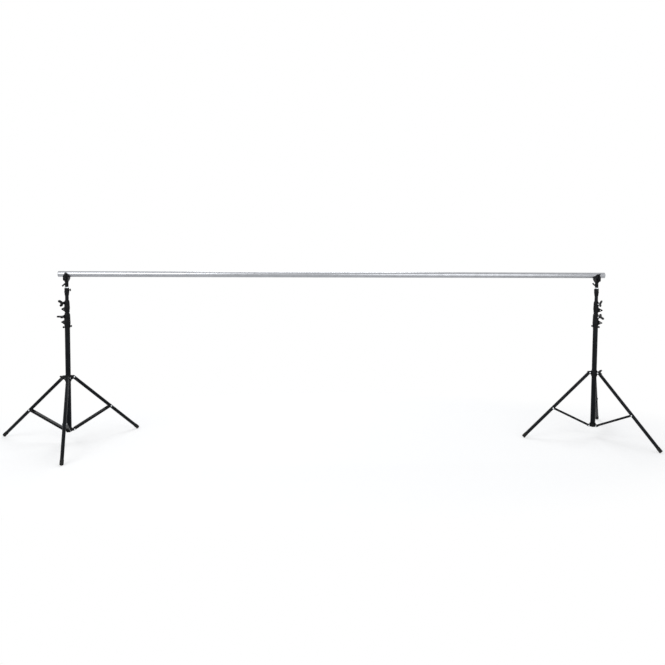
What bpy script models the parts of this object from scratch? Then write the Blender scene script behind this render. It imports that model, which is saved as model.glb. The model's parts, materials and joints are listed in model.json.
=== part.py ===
"""Backdrop stand: one crossbar carried by two folding light stands with jaw clamps.

Metres, +Z up. X runs along the crossbar, -Y is the front. The origin is on the floor,
at the centre of the whole footprint.
"""
import math

import bmesh
import bpy
from mathutils import Matrix, Vector

MM = 0.001

# Clearances between pieces that touch or run in each other
GAP = 0.3 * MM
FACETS_WIDE = 24
FACETS_CAST = 20
FACETS_MEDIUM = 16
FACETS_SMALL = 10
FACETS_TINY = 8

# Crossbar and its place in the clamps
BAR_LENGTH = 3.658
BAR_RADIUS = 19.05 * MM
BAR_WALL = 1.6 * MM
PLUG_LIP = 2.5 * MM
PLUG_DEPTH = 22.0 * MM
BAR_OVERHANG = 50.0 * MM
STAND_SPACING = BAR_LENGTH - 2 * BAR_OVERHANG

# Column tubes
COLUMN_RADIUS = 16.5 * MM
TUBE_STEP = 2.5 * MM
LOWER_RISER_RADIUS = COLUMN_RADIUS - TUBE_STEP
UPPER_RISER_RADIUS = LOWER_RISER_RADIUS - TUBE_STEP
TUBE_WALL = 1.5 * MM
COLUMN_LENGTH = 0.774
LOWER_RISER_LENGTH = 0.833
UPPER_RISER_LENGTH = 0.880
BUSH_LENGTH = 30.0 * MM

# Leg set
LEG_RADIUS = 11.0 * MM
LEG_WALL = 1.3 * MM
LEG_LENGTH = 0.631
LEG_PLUG_DEPTH = 16.0 * MM
LEFT_LEG_SPREAD = math.radians(47.8)
RIGHT_LEG_SPREAD = math.radians(46.6)
LEG_FOLDED = math.radians(2.0)
HUB_PIVOT_RADIUS = 36.0 * MM
KNEE_DISTANCE = 0.354
LEGS_PER_STAND = 3
FOOT_WALL = 0.9 * MM
FOOT_SLEEVE = 26.0 * MM
FOOT_SOLE = 7.0 * MM
SOLE_EDGE_RADIUS = 0.86
SOLE_EDGE_DROP = 0.8

# Channel brace
BRACE_LENGTH = 0.289
BRACE_WALL = 1.5 * MM
BRACE_WEB_HEIGHT = LEG_RADIUS - 3.0 * MM
BRACE_END_RADIUS = 6.0 * MM
BRACE_SKIRT = 4.5 * MM
WEB_START = 11.0 * MM
WEB_CUTBACK = 42.0 * MM
LOWER_PIVOT_RADIUS = 33.0 * MM

# Rivets
RIVET_RADIUS = 3.0 * MM
RIVET_HEAD_RADIUS = 5.2 * MM
RIVET_HEAD_HEIGHT = 2.0 * MM

# Leg hub that slides on the column
HUB_WALL = 3.4 * MM
HUB_ABOVE = 15.0 * MM
HUB_BELOW = 27.0 * MM
EAR_THICKNESS = 3.6 * MM
EAR_RADIUS = 9.0 * MM
HUB_BOSS_RADIUS = 6.5 * MM
HUB_BOSS_REACH = 8.0 * MM

# Lower hub, fixed on the column's end
LOWER_HUB_WALL = 4.0 * MM
LOWER_HUB_ABOVE = 15.0 * MM
LOWER_HUB_BELOW = 12.0 * MM
LUG_RADIUS = 7.0 * MM

# Collars
BASE_COLLAR_HEIGHT = 97.0 * MM
RISER_COLLAR_HEIGHT = 79.0 * MM
COLLAR_MOUTH = 10.5 * MM
COLLAR_WALL = 1.8 * MM
COLLAR_BELLY = 3.4 * MM
COLLAR_SPACING = 6.5 * MM
EAR_BOSS_RADIUS = 8.5 * MM
EAR_BOSS_WIDTH = 23.0 * MM
SLOT_WIDTH = 2.4 * MM
BOLT_RADIUS = 3.0 * MM
BOLT_PROUD = 3.0 * MM
EAR_LEVEL = 0.77
EYE_REACH = 31.0 * MM
EYE_HEIGHT = 34.0 * MM
BASE_EYE_LEVEL = 36.5 * MM
RISER_EYE_LEVEL = 19.0 * MM
EYE_THICKNESS = 6.0 * MM
EYE_HOLE_RADIUS = 3.2 * MM
SCREW_HEAD_RADIUS = 7.0 * MM
SCREW_REACH = 11.5 * MM
OUTER_SCREW_LEVEL = 4.5 * MM
INNER_SCREW_LEVEL = 12.5 * MM

# Wing knob
WING_SPAN = 46.0 * MM
WING_THICKNESS = 9.0 * MM
WING_LOBE_RADIUS = 7.5 * MM
WING_HEIGHT = 38.0 * MM
KNOB_BOSS_RADIUS = 7.5 * MM
HUB_WING_SPAN = 34.0 * MM
HUB_WING_LOBE_RADIUS = 5.5 * MM
HUB_WING_HEIGHT = 28.0 * MM

# Riser head and stud
HEAD_HEIGHT = 49.0 * MM
HEAD_RADIUS = UPPER_RISER_RADIUS + 2.7 * MM
HEAD_BELLY = UPPER_RISER_RADIUS + 4.3 * MM
HEAD_SEAT = 25.0 * MM
HEAD_ABOVE_COLLAR = 31.0 * MM
STUD_RADIUS = 8.0 * MM
STUD_BELOW = 20.0 * MM
STUD_ABOVE = 33.0 * MM
STUD_WAIST = 1.2 * MM
FLANGE_RADIUS = 12.5 * MM
FLANGE_HEIGHT = 7.0 * MM
HEAD_SCREW_HEIGHT = 36.5 * MM
HEAD_SCREW_REACH = 12.5 * MM
HEAD_SCREW_BAR = 17.0 * MM
HEAD_SCREW_GRIP = 3.2 * MM
HEAD_SCREW_COLLAR = 4.6 * MM
HEAD_SCREW_COLLAR_LENGTH = 4.0 * MM

# Jaw clamp, measured from its underside on the stud flange
CLAMP_BAR_HEIGHT = 84.0 * MM
CLAMP_SCREW_HEIGHT = 57.0 * MM
CLAMP_SCREW_RADIUS = 4.0 * MM
SOCKET_RADIUS = 11.5 * MM
SOCKET_HEIGHT = 41.0 * MM
SOCKET_RIM = 1.0 * MM
YOKE_FOOT = 33.0 * MM
YOKE_HALF_FOOT = 9.0 * MM
SHOULDER_HALF_WIDTH = 16.5 * MM
REAR_TOP_HALF_WIDTH = 9.0 * MM
REAR_WALL = 9.5 * MM
REAR_RELIEF = 4.5 * MM
CLAMP_TOP = 99.5 * MM
HOOK_ANGLE = 50.0
JAW_TOP = 92.0 * MM
JAW_TIP_HALF_WIDTH = 6.5 * MM
JAW_BOTTOM = 41.0 * MM
JAW_FACE = 12.5 * MM
JAW_THICKNESS = 14.5 * MM
TONGUE_WIDTH = 10.0 * MM
TONGUE_HEIGHT = 6.0 * MM
TONGUE_LENGTH = 20.0 * MM
TONGUE_LEVEL = 46.0 * MM
POCKET_HALF_WIDTH = 1.8 * MM
POCKET_DEPTH = 3.5 * MM
SCREW_HEAD_LENGTH = 10.0 * MM
SCREW_HEAD_SIZE = 7.5 * MM
SCREW_SHANK_LENGTH = 44.0 * MM
SCREW_HOLE_CLEARANCE = 4.0 * MM
SLIDING_BAR_LENGTH = 48.0 * MM
SLIDING_BAR_RADIUS = 2.6 * MM
SLIDING_BAR_OFFSET = 12.0 * MM
LEVER_LEVEL = 17.0 * MM
LEVER_LENGTH = 19.0 * MM
LEVER_BOSS_RADIUS = 6.0 * MM
LEVER_BOSS_LENGTH = 6.0 * MM
LEVER_ARM_RADIUS = 3.6 * MM
LEVER_TIP_RADIUS = 4.8 * MM

# How each stand is turned, from the photograph
LEFT_LEG_AZIMUTH = math.radians(161.4)
RIGHT_LEG_AZIMUTH = math.radians(302.5)
LEFT_SLIDING_BAR_TILT = math.radians(9.0)
RIGHT_SLIDING_BAR_TILT = math.radians(10.0)
LEFT_LEVER_TURN = math.radians(180.0)
RIGHT_LEVER_TURN = 0.0
LEFT_HEAD_SCREW_AZIMUTH = 0.0
RIGHT_HEAD_SCREW_AZIMUTH = math.radians(100.0)
LEFT_BASE_COLLAR = {"azimuth": math.radians(156.0), "wing": math.radians(-8.0)}
LEFT_RISER_COLLAR = {"azimuth": math.radians(156.0), "wing": math.radians(-65.0)}
RIGHT_BASE_COLLAR = {"azimuth": math.radians(-50.0), "wing": math.radians(54.0)}
RIGHT_RISER_COLLAR = {"azimuth": math.radians(-41.0), "wing": math.radians(-78.0)}

# Sizes that follow from the ones above
FOOT_RADIUS = LEG_RADIUS + GAP + FOOT_WALL
FOOT_EDGE = LEG_LENGTH + FOOT_SOLE * SOLE_EDGE_DROP
CHANNEL_HALF = LEG_RADIUS + GAP
HUB_RADIUS = COLUMN_RADIUS + GAP + HUB_WALL


def stand_levels(spread):
    """Levels above the floor, and the rise of the braces, for legs opened to this spread."""
    hub = FOOT_EDGE * math.cos(spread) + FOOT_RADIUS * SOLE_EDGE_RADIUS * math.sin(spread)
    knee_radius = HUB_PIVOT_RADIUS + KNEE_DISTANCE * math.sin(spread)
    rise = math.acos((knee_radius - LOWER_PIVOT_RADIUS) / BRACE_LENGTH)
    lower_pivot = hub - KNEE_DISTANCE * math.cos(spread) - BRACE_LENGTH * math.sin(rise)
    column_foot = lower_pivot - LOWER_HUB_BELOW + LOWER_HUB_WALL
    base_collar = column_foot + COLUMN_LENGTH - BASE_COLLAR_HEIGHT + COLLAR_MOUTH
    riser_collar = base_collar + BASE_COLLAR_HEIGHT + COLLAR_SPACING
    return {
        "spread": spread,
        "rise": rise,
        "hub": hub,
        "lower_pivot": lower_pivot,
        "column_foot": column_foot,
        "base_collar": base_collar,
        "riser_collar": riser_collar,
        "lower_riser_top": riser_collar + RISER_COLLAR_HEIGHT - COLLAR_MOUTH,
    }


# Both heads stand level, so the stand with the lower column is drawn out a little further
LEFT_LEVELS = stand_levels(LEFT_LEG_SPREAD)
RIGHT_LEVELS = stand_levels(RIGHT_LEG_SPREAD)
HEAD_LEVEL = LEFT_LEVELS["riser_collar"] + RISER_COLLAR_HEIGHT + HEAD_ABOVE_COLLAR
UPPER_RISER_TOP = HEAD_LEVEL + HEAD_SEAT
FLANGE_LEVEL = HEAD_LEVEL + HEAD_HEIGHT + GAP
CLAMP_LEVEL = FLANGE_LEVEL + FLANGE_HEIGHT + GAP
BAR_LEVEL = CLAMP_LEVEL + CLAMP_BAR_HEIGHT


def clear_scene():
    """Remove every object of the scene."""
    for old in list(bpy.data.objects):
        bpy.data.objects.remove(old, do_unlink=True)


def collection(name):
    """Make a collection under the scene."""
    made = bpy.data.collections.new(name)
    bpy.context.scene.collection.children.link(made)
    return made


clear_scene()
PARTS = collection("backdrop_stand")
CUTTERS = collection("cutters")


def material(name, colour, roughness, metallic):
    """Principled material with one colour."""
    made = bpy.data.materials.new(name)
    made.use_nodes = True
    shader = made.node_tree.nodes["Principled BSDF"]
    shader.inputs["Base Color"].default_value = (*colour, 1.0)
    shader.inputs["Roughness"].default_value = roughness
    shader.inputs["Metallic"].default_value = metallic
    made.diffuse_color = (*colour, 1.0)
    return made


BARE_ALUMINIUM = material("bare_aluminium", (0.62, 0.63, 0.65), 0.32, 1.0)
BLACK_TUBE = material("black_anodised_tube", (0.018, 0.020, 0.024), 0.38, 0.6)
BLACK_CASTING = material("black_painted_casting", (0.016, 0.016, 0.018), 0.52, 0.2)
BLACK_PLASTIC = material("black_moulded_plastic", (0.014, 0.014, 0.015), 0.55, 0.0)
BLACK_RUBBER = material("black_rubber", (0.020, 0.020, 0.020), 0.85, 0.0)
GREY_PLASTIC = material("grey_moulded_plastic", (0.30, 0.31, 0.32), 0.55, 0.0)
BRIGHT_STEEL = material("zinc_plated_steel", (0.66, 0.67, 0.69), 0.28, 1.0)
BLACK_STEEL = material("blackened_steel", (0.022, 0.022, 0.024), 0.4, 0.7)


def raw_object(name, data):
    """Object for data, kept with the parts until it is finished."""
    made = bpy.data.objects.new(name, data)
    PARTS.objects.link(made)
    return made


def mesh_object(name, mesh_maker):
    """Object whose mesh is filled by mesh_maker(bm)."""
    mesh = bpy.data.meshes.new(name)
    bm = bmesh.new()
    mesh_maker(bm)
    bmesh.ops.recalc_face_normals(bm, faces=bm.faces)
    bm.to_mesh(mesh)
    bm.free()
    return raw_object(name, mesh)


def box(name, low, high):
    """Box between two corners."""
    low, high = Vector(low), Vector(high)

    def fill(bm):
        bmesh.ops.create_cube(bm, size=1.0)
        bmesh.ops.scale(bm, vec=high - low, verts=bm.verts)
        bmesh.ops.translate(bm, vec=(low + high) / 2, verts=bm.verts)

    return mesh_object(name, fill)


def rod(name, radius, start, end, facets=FACETS_SMALL, end_radius=None):
    """Round rod or cone from start to end."""
    start, end = Vector(start), Vector(end)
    along = end - start
    turn = Vector((0, 0, 1)).rotation_difference(along).to_matrix().to_4x4()

    def fill(bm):
        bmesh.ops.create_cone(
            bm,
            cap_ends=True,
            segments=facets,
            radius1=radius,
            radius2=radius if end_radius is None else end_radius,
            depth=along.length,
            matrix=Matrix.Translation((start + end) / 2) @ turn,
        )

    return mesh_object(name, fill)


def ball(name, radius, centre):
    """Small ball."""

    def fill(bm):
        bmesh.ops.create_uvsphere(
            bm, u_segments=8, v_segments=6, radius=radius, matrix=Matrix.Translation(centre)
        )

    return mesh_object(name, fill)


def turned(name, outline, facets=FACETS_CAST, ring=False):
    """Body of revolution about Z. The outline of (radius, height) runs down the outer side."""
    mesh = bpy.data.meshes.new(name)
    points = [(radius, 0.0, height) for radius, height in outline]
    edges = [(index, index + 1) for index in range(len(points) - 1)]
    if ring:
        edges.append((len(points) - 1, 0))
    mesh.from_pydata(points, edges, [])
    made = raw_object(name, mesh)
    screw = made.modifiers.new("turn", "SCREW")
    screw.angle = 2 * math.pi
    screw.steps = round(facets)
    screw.render_steps = round(facets)
    screw.use_merge_vertices = True
    screw.merge_threshold = 0.00001
    screw.use_smooth_shade = True
    return made


def tube_outline(outer, inner, bottom, top):
    """Closed outline of a plain tube wall."""
    return [(outer, top), (outer, bottom), (inner, bottom), (inner, top)]


def plate(name, outline, thickness, plane="XZ"):
    """Flat outline with a thickness across it, standing in the XZ or the YZ plane."""
    curve = bpy.data.curves.new(name, "CURVE")
    curve.dimensions = "2D"
    curve.fill_mode = "BOTH"
    curve.extrude = thickness / 2
    spline = curve.splines.new("POLY")
    spline.points.add(len(outline) - 1)
    for point, (across, up) in zip(spline.points, outline):
        point.co = (across, up, 0.0, 1.0)
    spline.use_cyclic_u = True
    made = raw_object(name, curve)
    stand_up = Matrix.Rotation(math.radians(90), 4, "X")
    if plane == "YZ":
        stand_up = Matrix.Rotation(math.radians(90), 4, "Z") @ stand_up
    made.matrix_world = stand_up
    bpy.context.view_layer.update()
    return as_mesh(made)


def as_mesh(made):
    """The object's evaluated shape as a mesh object with its caps welded."""
    graph = bpy.context.evaluated_depsgraph_get()
    mesh = bpy.data.meshes.new_from_object(made.evaluated_get(graph))
    bm = bmesh.new()
    bm.from_mesh(mesh)
    bmesh.ops.remove_doubles(bm, verts=bm.verts, dist=0.00001)
    bmesh.ops.recalc_face_normals(bm, faces=bm.faces)
    bm.transform(made.matrix_world)
    bm.to_mesh(mesh)
    bm.free()
    name = made.name
    bpy.data.objects.remove(made, do_unlink=True)
    return raw_object(name, mesh)


def arc(centre_x, centre_y, radius, start, end, count):
    """Points of an arc between two angles in degrees."""
    steps = [math.radians(start + (end - start) * index / (count - 1)) for index in range(count)]
    return [(centre_x + radius * math.cos(a), centre_y + radius * math.sin(a)) for a in steps]


def combine(made, tools, operation):
    """Boolean of made with each tool; the tools move to the cutters' collection."""
    for tool in tools:
        change = made.modifiers.new(operation.lower(), "BOOLEAN")
        change.operation = operation
        change.solver = "EXACT"
        change.object = tool
        PARTS.objects.unlink(tool)
        CUTTERS.objects.link(tool)
        tool.hide_render = True
        tool.display_type = "WIRE"
    return made


def cut(made, *tools):
    """Take the tools away from made."""
    return combine(made, tools, "DIFFERENCE")


def join(made, *tools):
    """Fuse the tools with made."""
    return combine(made, tools, "UNION")


def common(made, *tools):
    """Keep what made and the tools share."""
    return combine(made, tools, "INTERSECT")


def finished_mesh(made):
    """The finished shape as a mesh that several objects can share."""
    bpy.context.view_layer.update()
    graph = bpy.context.evaluated_depsgraph_get()
    mesh = bpy.data.meshes.new_from_object(made.evaluated_get(graph))
    mesh.name = made.name
    mesh.materials.clear()
    bm = bmesh.new()
    bm.from_mesh(mesh)
    bmesh.ops.remove_doubles(bm, verts=bm.verts, dist=0.00001)
    bmesh.ops.dissolve_limit(bm, angle_limit=math.radians(0.5), verts=bm.verts, edges=bm.edges)
    bmesh.ops.triangulate(bm, faces=bm.faces)
    bm.to_mesh(mesh)
    bm.free()
    mesh.shade_smooth()
    mesh.set_sharp_from_angle(angle=math.radians(35))
    bpy.data.objects.remove(made, do_unlink=True)
    return mesh


def empty(name, parent=None, place=(0, 0, 0), turn=(0, 0, 0)):
    """Empty that carries pieces on an axis."""
    made = bpy.data.objects.new(name, None)
    made.empty_display_size = 0.03
    PARTS.objects.link(made)
    made.parent = parent
    made.location = place
    made.rotation_euler = turn
    return made


def place(name, mesh, finish, parent, at=(0, 0, 0), turn=(0, 0, 0)):
    """Place a finished mesh as one named piece."""
    made = bpy.data.objects.new(name, mesh)
    PARTS.objects.link(made)
    if not mesh.materials:
        mesh.materials.append(finish)
    made.parent = parent
    made.location = at
    made.rotation_euler = turn
    return made


def crossbar_mesh():
    """Tube along X, centred on its own axis."""
    half = BAR_LENGTH / 2
    wall = tube_outline(BAR_RADIUS, BAR_RADIUS - BAR_WALL, -half, half)
    bar = turned("crossbar", wall, FACETS_WIDE, True)
    mesh = finished_mesh(bar)
    mesh.transform(Matrix.Rotation(math.radians(90), 4, "Y"))
    return mesh


def bar_plug_mesh():
    """Domed plug that closes one end of the crossbar; its lip starts at height zero."""
    seat = BAR_RADIUS - BAR_WALL - GAP
    dome = [(0.0, PLUG_LIP), (BAR_RADIUS * 0.6, PLUG_LIP), (BAR_RADIUS * 0.9, PLUG_LIP * 0.6)]
    outline = dome + [(BAR_RADIUS, 0.2 * PLUG_LIP), (BAR_RADIUS, 0.0), (seat, 0.0), (seat, -PLUG_DEPTH)]
    outline += [(seat - BAR_WALL, -PLUG_DEPTH), (seat - BAR_WALL, -PLUG_LIP), (0.0, -PLUG_LIP)]
    return finished_mesh(turned("bar_plug", outline, FACETS_WIDE))


def column_mesh():
    """Base column tube, from its foot at height zero."""
    inner = COLUMN_RADIUS - TUBE_WALL
    return finished_mesh(
        turned("base_column", tube_outline(COLUMN_RADIUS, inner, 0, COLUMN_LENGTH), FACETS_WIDE, True)
    )


def riser_mesh(name, radius, outer_tube_radius, length):
    """Riser tube from its foot, with the wider bush that runs in the tube around it."""
    bush = outer_tube_radius - TUBE_WALL - GAP
    inner = radius - TUBE_WALL
    outline = [(radius, length), (radius, BUSH_LENGTH), (bush, BUSH_LENGTH - GAP), (bush, 0)]
    outline += [(inner, 0), (inner, length)]
    return finished_mesh(turned(name, outline, FACETS_WIDE, True))


def bolt_reach(tube_radius):
    """How far a collar's bolt stands from the column's axis, so that its knob clears the barrel."""
    barrel_radius = tube_radius + GAP + (COLLAR_WALL + COLLAR_BELLY) / 2
    inset = math.sqrt(barrel_radius**2 - (EAR_BOSS_WIDTH / 2) ** 2)
    return inset + KNOB_BOSS_RADIUS + GAP


def collar_mesh(name, tube_radius, riser_radius, height, eye_level):
    """Split collar casting: barrel, clamp ears with a bolt hole, and an eye lug below.

    The collar stands on height zero, with its ears towards +X.
    """
    foot = tube_radius + GAP + COLLAR_WALL
    belly = tube_radius + GAP + COLLAR_BELLY
    mouth = riser_radius + GAP + COLLAR_WALL
    seat = height - COLLAR_MOUTH + GAP
    outline = [(mouth, height), (foot, height - COLLAR_MOUTH), (belly, height * 0.4)]
    outline += [(belly, height * 0.28), (foot, height * 0.2), (foot, 0.0), (0.0, 0.0)]
    collar = turned(name, [(0.0, height)] + outline)
    bolt_x = bolt_reach(tube_radius)
    bolt_level = height * EAR_LEVEL
    half = EAR_BOSS_WIDTH / 2
    boss = rod("ear_boss", EAR_BOSS_RADIUS, (bolt_x, -half, bolt_level), (bolt_x, half, bolt_level), 14)
    reach = tube_radius + EYE_REACH
    tip = arc(reach - 4.0 * MM, eye_level, 4.0 * MM, -50, 50, 3)
    root = tube_radius - 2.0 * MM
    low, high = eye_level - EYE_HEIGHT / 2, eye_level + EYE_HEIGHT / 2
    lug = plate("eye_lug", [(root, low)] + tip + [(root, high)], EYE_THICKNESS)
    join(collar, boss, lug)
    bore = turned(
        "collar_bore",
        [
            (0.0, 2 * height),
            (riser_radius + GAP, 2 * height),
            (riser_radius + GAP, seat),
            (tube_radius + GAP, seat),
            (tube_radius + GAP, -seat),
            (0.0, -seat),
        ],
        FACETS_WIDE,
    )
    slot = box(
        "slot",
        (0, -SLOT_WIDTH / 2, bolt_level - EAR_BOSS_RADIUS * 1.5),
        (2 * bolt_x, SLOT_WIDTH / 2, 2 * height),
    )
    bolt_hole = rod(
        "bolt_hole", BOLT_RADIUS + GAP, (bolt_x, -2 * half, bolt_level), (bolt_x, 2 * half, bolt_level)
    )
    eye_x = tube_radius + EYE_REACH * 0.52
    eye_hole = rod("eye_hole", EYE_HOLE_RADIUS, (eye_x, -half, eye_level), (eye_x, half, eye_level))
    cut(collar, bore, slot, bolt_hole, eye_hole)
    return finished_mesh(collar)


def collar_screw_mesh():
    """Ball-headed screw of the base collar, its neck on height zero."""
    outline = [(0.0, SCREW_REACH), (SCREW_HEAD_RADIUS * 0.7, SCREW_REACH * 0.88)]
    outline += [(SCREW_HEAD_RADIUS, SCREW_REACH * 0.62), (SCREW_HEAD_RADIUS, SCREW_REACH * 0.42)]
    outline += [(SCREW_HEAD_RADIUS * 0.6, SCREW_REACH * 0.2), (SCREW_HEAD_RADIUS * 0.6, 0.0), (0.0, 0.0)]
    return finished_mesh(turned("collar_screw", outline, FACETS_SMALL))


def wing_knob_mesh(name, span, height, lobe_radius, bolt_length):
    """Wing knob about Z: boss from height zero up, wings along X, bolt downwards."""
    boss_top = height * 0.62
    knob = turned(
        name,
        [
            (0.0, boss_top),
            (KNOB_BOSS_RADIUS * 0.7, boss_top),
            (KNOB_BOSS_RADIUS, boss_top * 0.7),
            (KNOB_BOSS_RADIUS, 0.0),
            (BOLT_RADIUS, 0.0),
            (BOLT_RADIUS, -bolt_length),
            (0.0, -bolt_length),
        ],
        FACETS_SMALL,
    )
    lobe_x = span / 2 - lobe_radius
    lobe_z = height - lobe_radius
    waist = [(KNOB_BOSS_RADIUS * 0.8, boss_top * 0.2), (span / 2 - 0.2 * lobe_radius, height * 0.58)]
    crown = [(0.5 * lobe_x, height * 0.82), (0.0, boss_top)]
    right = waist + arc(lobe_x, lobe_z, lobe_radius, 0, 140, 5) + crown
    mirrored = [(-x, z) for x, z in reversed(right[:-1])]
    wings = plate("wings", right + mirrored, WING_THICKNESS)
    join(knob, wings)
    return finished_mesh(knob)


def rivet_head_outline(grip):
    """Outline of a domed rivet head about Z, its underside at the height grip."""
    top = grip + RIVET_HEAD_HEIGHT
    return [
        (0.0, top),
        (RIVET_HEAD_RADIUS * 0.6, top - RIVET_HEAD_HEIGHT * 0.2),
        (RIVET_HEAD_RADIUS, grip + RIVET_HEAD_HEIGHT * 0.3),
        (RIVET_HEAD_RADIUS, grip),
        (RIVET_RADIUS, grip),
    ]


def rivet(name, grip):
    """Rivet along Y with a domed head at each end, their undersides grip from the middle."""
    head = rivet_head_outline(grip)
    mirrored = [(radius, -height) for radius, height in reversed(head)]
    return lay_down(turned(name, head + mirrored, FACETS_TINY), 1)


def rivet_end(name, grip, shank_end):
    """One end of a rivet along Y: a domed head and a shank that stops at shank_end."""
    outline = rivet_head_outline(grip) + [(RIVET_RADIUS, shank_end), (0.0, shank_end)]
    return turned(name, outline, FACETS_TINY)


def lay_down(made, side):
    """Turn a shape made about Z so that it lies along Y, its top towards the given side."""
    mesh = finished_mesh(made)
    mesh.transform(Matrix.Rotation(math.radians(-90 * side), 4, "X"))
    return raw_object(mesh.name, mesh)


def lower_hub_mesh():
    """Fixed hub with a rounded bottom, three lugs and the rivets set fast in them.

    The brace pivots are at height zero, the first lug towards +X.
    """
    outer = COLUMN_RADIUS + GAP + LOWER_HUB_WALL
    outline = [
        (0.0, LOWER_HUB_ABOVE),
        (outer, LOWER_HUB_ABOVE),
        (outer, -LOWER_HUB_BELOW * 0.3),
        (outer * 0.86, -LOWER_HUB_BELOW * 0.75),
        (outer * 0.5, -LOWER_HUB_BELOW),
        (0.0, -LOWER_HUB_BELOW * 1.08),
    ]
    hub = turned("lower_hub", outline)
    width = 2 * (CHANNEL_HALF - GAP)
    for index in range(LEGS_PER_STAND):
        azimuth = 2 * math.pi * index / LEGS_PER_STAND
        about = Matrix.Rotation(azimuth, 4, "Z")
        nose = arc(LOWER_PIVOT_RADIUS, 0.0, LUG_RADIUS, -90, 90, 5)
        root = COLUMN_RADIUS * 0.7
        lug = plate("brace_lug", [(root, -LUG_RADIUS)] + nose + [(root, LUG_RADIUS)], width)
        lug.data.transform(about)
        join(hub, lug)
        pivot = rivet("brace_rivet", CHANNEL_HALF + BRACE_WALL + GAP)
        pivot.data.transform(about @ Matrix.Translation((LOWER_PIVOT_RADIUS, 0, 0)))
        join(hub, pivot)
    seat = rod(
        "column_seat",
        COLUMN_RADIUS + GAP,
        (0, 0, LOWER_HUB_WALL - LOWER_HUB_BELOW - GAP),
        (0, 0, 2 * LOWER_HUB_ABOVE),
        FACETS_WIDE,
    )
    cut(hub, seat)
    return finished_mesh(hub)


def leg_hub_mesh():
    """Sliding hub: sleeve, three pairs of ears with their rivets and a boss for the wing screw.

    The leg pivots are at height zero, the first leg towards +X, the boss at 60 degrees. The
    rivets stop short of the legs, because the folding linkage is open at this pivot.
    """
    outline = [
        (0.0, HUB_ABOVE),
        (HUB_RADIUS - 1.2 * MM, HUB_ABOVE),
        (HUB_RADIUS, HUB_ABOVE - 4.0 * MM),
        (HUB_RADIUS, -HUB_BELOW),
        (0.0, -HUB_BELOW),
    ]
    hub = turned("leg_hub", outline, FACETS_WIDE)
    middle = CHANNEL_HALF + EAR_THICKNESS / 2
    root = HUB_RADIUS * 0.6
    for index in range(LEGS_PER_STAND):
        azimuth = 2 * math.pi * index / LEGS_PER_STAND
        for side in (-1, 1):
            nose = arc(HUB_PIVOT_RADIUS, 0.0, EAR_RADIUS, -75, 90, 5)
            outline = [(root, -EAR_RADIUS * 2.0)] + nose + [(root, EAR_RADIUS)]
            ear = plate("ear", outline, EAR_THICKNESS)
            ear.data.transform(
                Matrix.Rotation(azimuth, 4, "Z") @ Matrix.Translation((0, side * middle, 0))
            )
            end = rivet_end("leg_rivet", CHANNEL_HALF + EAR_THICKNESS - GAP, CHANNEL_HALF + GAP)
            pin = lay_down(end, side)
            pin.data.transform(
                Matrix.Rotation(azimuth, 4, "Z") @ Matrix.Translation((HUB_PIVOT_RADIUS, 0, 0))
            )
            join(hub, ear, pin)
    toward = Matrix.Rotation(math.pi / LEGS_PER_STAND, 4, "Z")
    boss_end = HUB_RADIUS + HUB_BOSS_REACH
    boss = rod("boss", HUB_BOSS_RADIUS, (HUB_RADIUS * 0.8, 0, 0), (boss_end, 0, 0))
    boss.data.transform(toward)
    join(hub, boss)
    bore = rod("bore", COLUMN_RADIUS + GAP, (0, 0, -2 * HUB_BELOW), (0, 0, 2 * HUB_ABOVE), FACETS_WIDE)
    screw_hole = rod("screw_hole", BOLT_RADIUS + GAP, (0, 0, 0), (2 * boss_end, 0, 0))
    screw_hole.data.transform(toward)
    cut(hub, bore, screw_hole)
    return finished_mesh(hub)


def brace_mesh():
    """Channel brace along +X from the lower hub's pivot to the knee, its web on top."""
    wall_top = BRACE_WEB_HEIGHT + BRACE_WALL
    outer_half = CHANNEL_HALF + BRACE_WALL
    shoulder = 2.0 * BRACE_END_RADIUS
    hub_end = arc(0.0, 0.0, BRACE_END_RADIUS, 110, 250, 5)
    knee_end = arc(BRACE_LENGTH, 0.0, BRACE_END_RADIUS, -70, 70, 5)
    outline = hub_end + [(shoulder, -BRACE_SKIRT), (BRACE_LENGTH - shoulder, -BRACE_SKIRT)]
    outline += knee_end + [(BRACE_LENGTH - shoulder, wall_top), (shoulder, wall_top)]
    brace = plate("brace", outline, 2 * outer_half)
    far = 2 * shoulder
    channel = box(
        "channel", (-far, -CHANNEL_HALF, -far), (BRACE_LENGTH + far, CHANNEL_HALF, BRACE_WEB_HEIGHT)
    )
    hub_relief = box("hub_relief", (-far, -CHANNEL_HALF, 0), (WEB_START, CHANNEL_HALF, far))
    knee_relief = box(
        "knee_relief",
        (BRACE_LENGTH - WEB_CUTBACK, -CHANNEL_HALF, 0),
        (BRACE_LENGTH + far, CHANNEL_HALF, far),
    )
    holes = [
        rod("pivot_hole", RIVET_RADIUS + GAP, (x, -2 * outer_half, 0), (x, 2 * outer_half, 0))
        for x in (0.0, BRACE_LENGTH)
    ]
    cut(brace, channel, hub_relief, knee_relief, *holes)
    return finished_mesh(brace)


def leg_mesh():
    """Leg tube with its knee rivet. The origin is on the knee axis, +Z towards the hub."""
    top = KNEE_DISTANCE
    bottom = KNEE_DISTANCE - LEG_LENGTH
    inner = LEG_RADIUS - LEG_WALL
    dome = [(0.0, top + LEG_RADIUS)]
    dome += [(x, top + z) for x, z in arc(0.0, 0.0, LEG_RADIUS, 50, 0, 3)]
    outline = dome + [(LEG_RADIUS, bottom), (inner, bottom), (inner, top - LEG_PLUG_DEPTH)]
    leg = turned("leg", outline + [(0.0, top - LEG_PLUG_DEPTH)], FACETS_MEDIUM)
    join(leg, rivet("knee_rivet", CHANNEL_HALF + BRACE_WALL + GAP))
    hole = rod("pivot_hole", RIVET_RADIUS + GAP, (0, -2 * LEG_RADIUS, top), (0, 2 * LEG_RADIUS, top))
    cut(leg, hole)
    return finished_mesh(leg)


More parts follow.
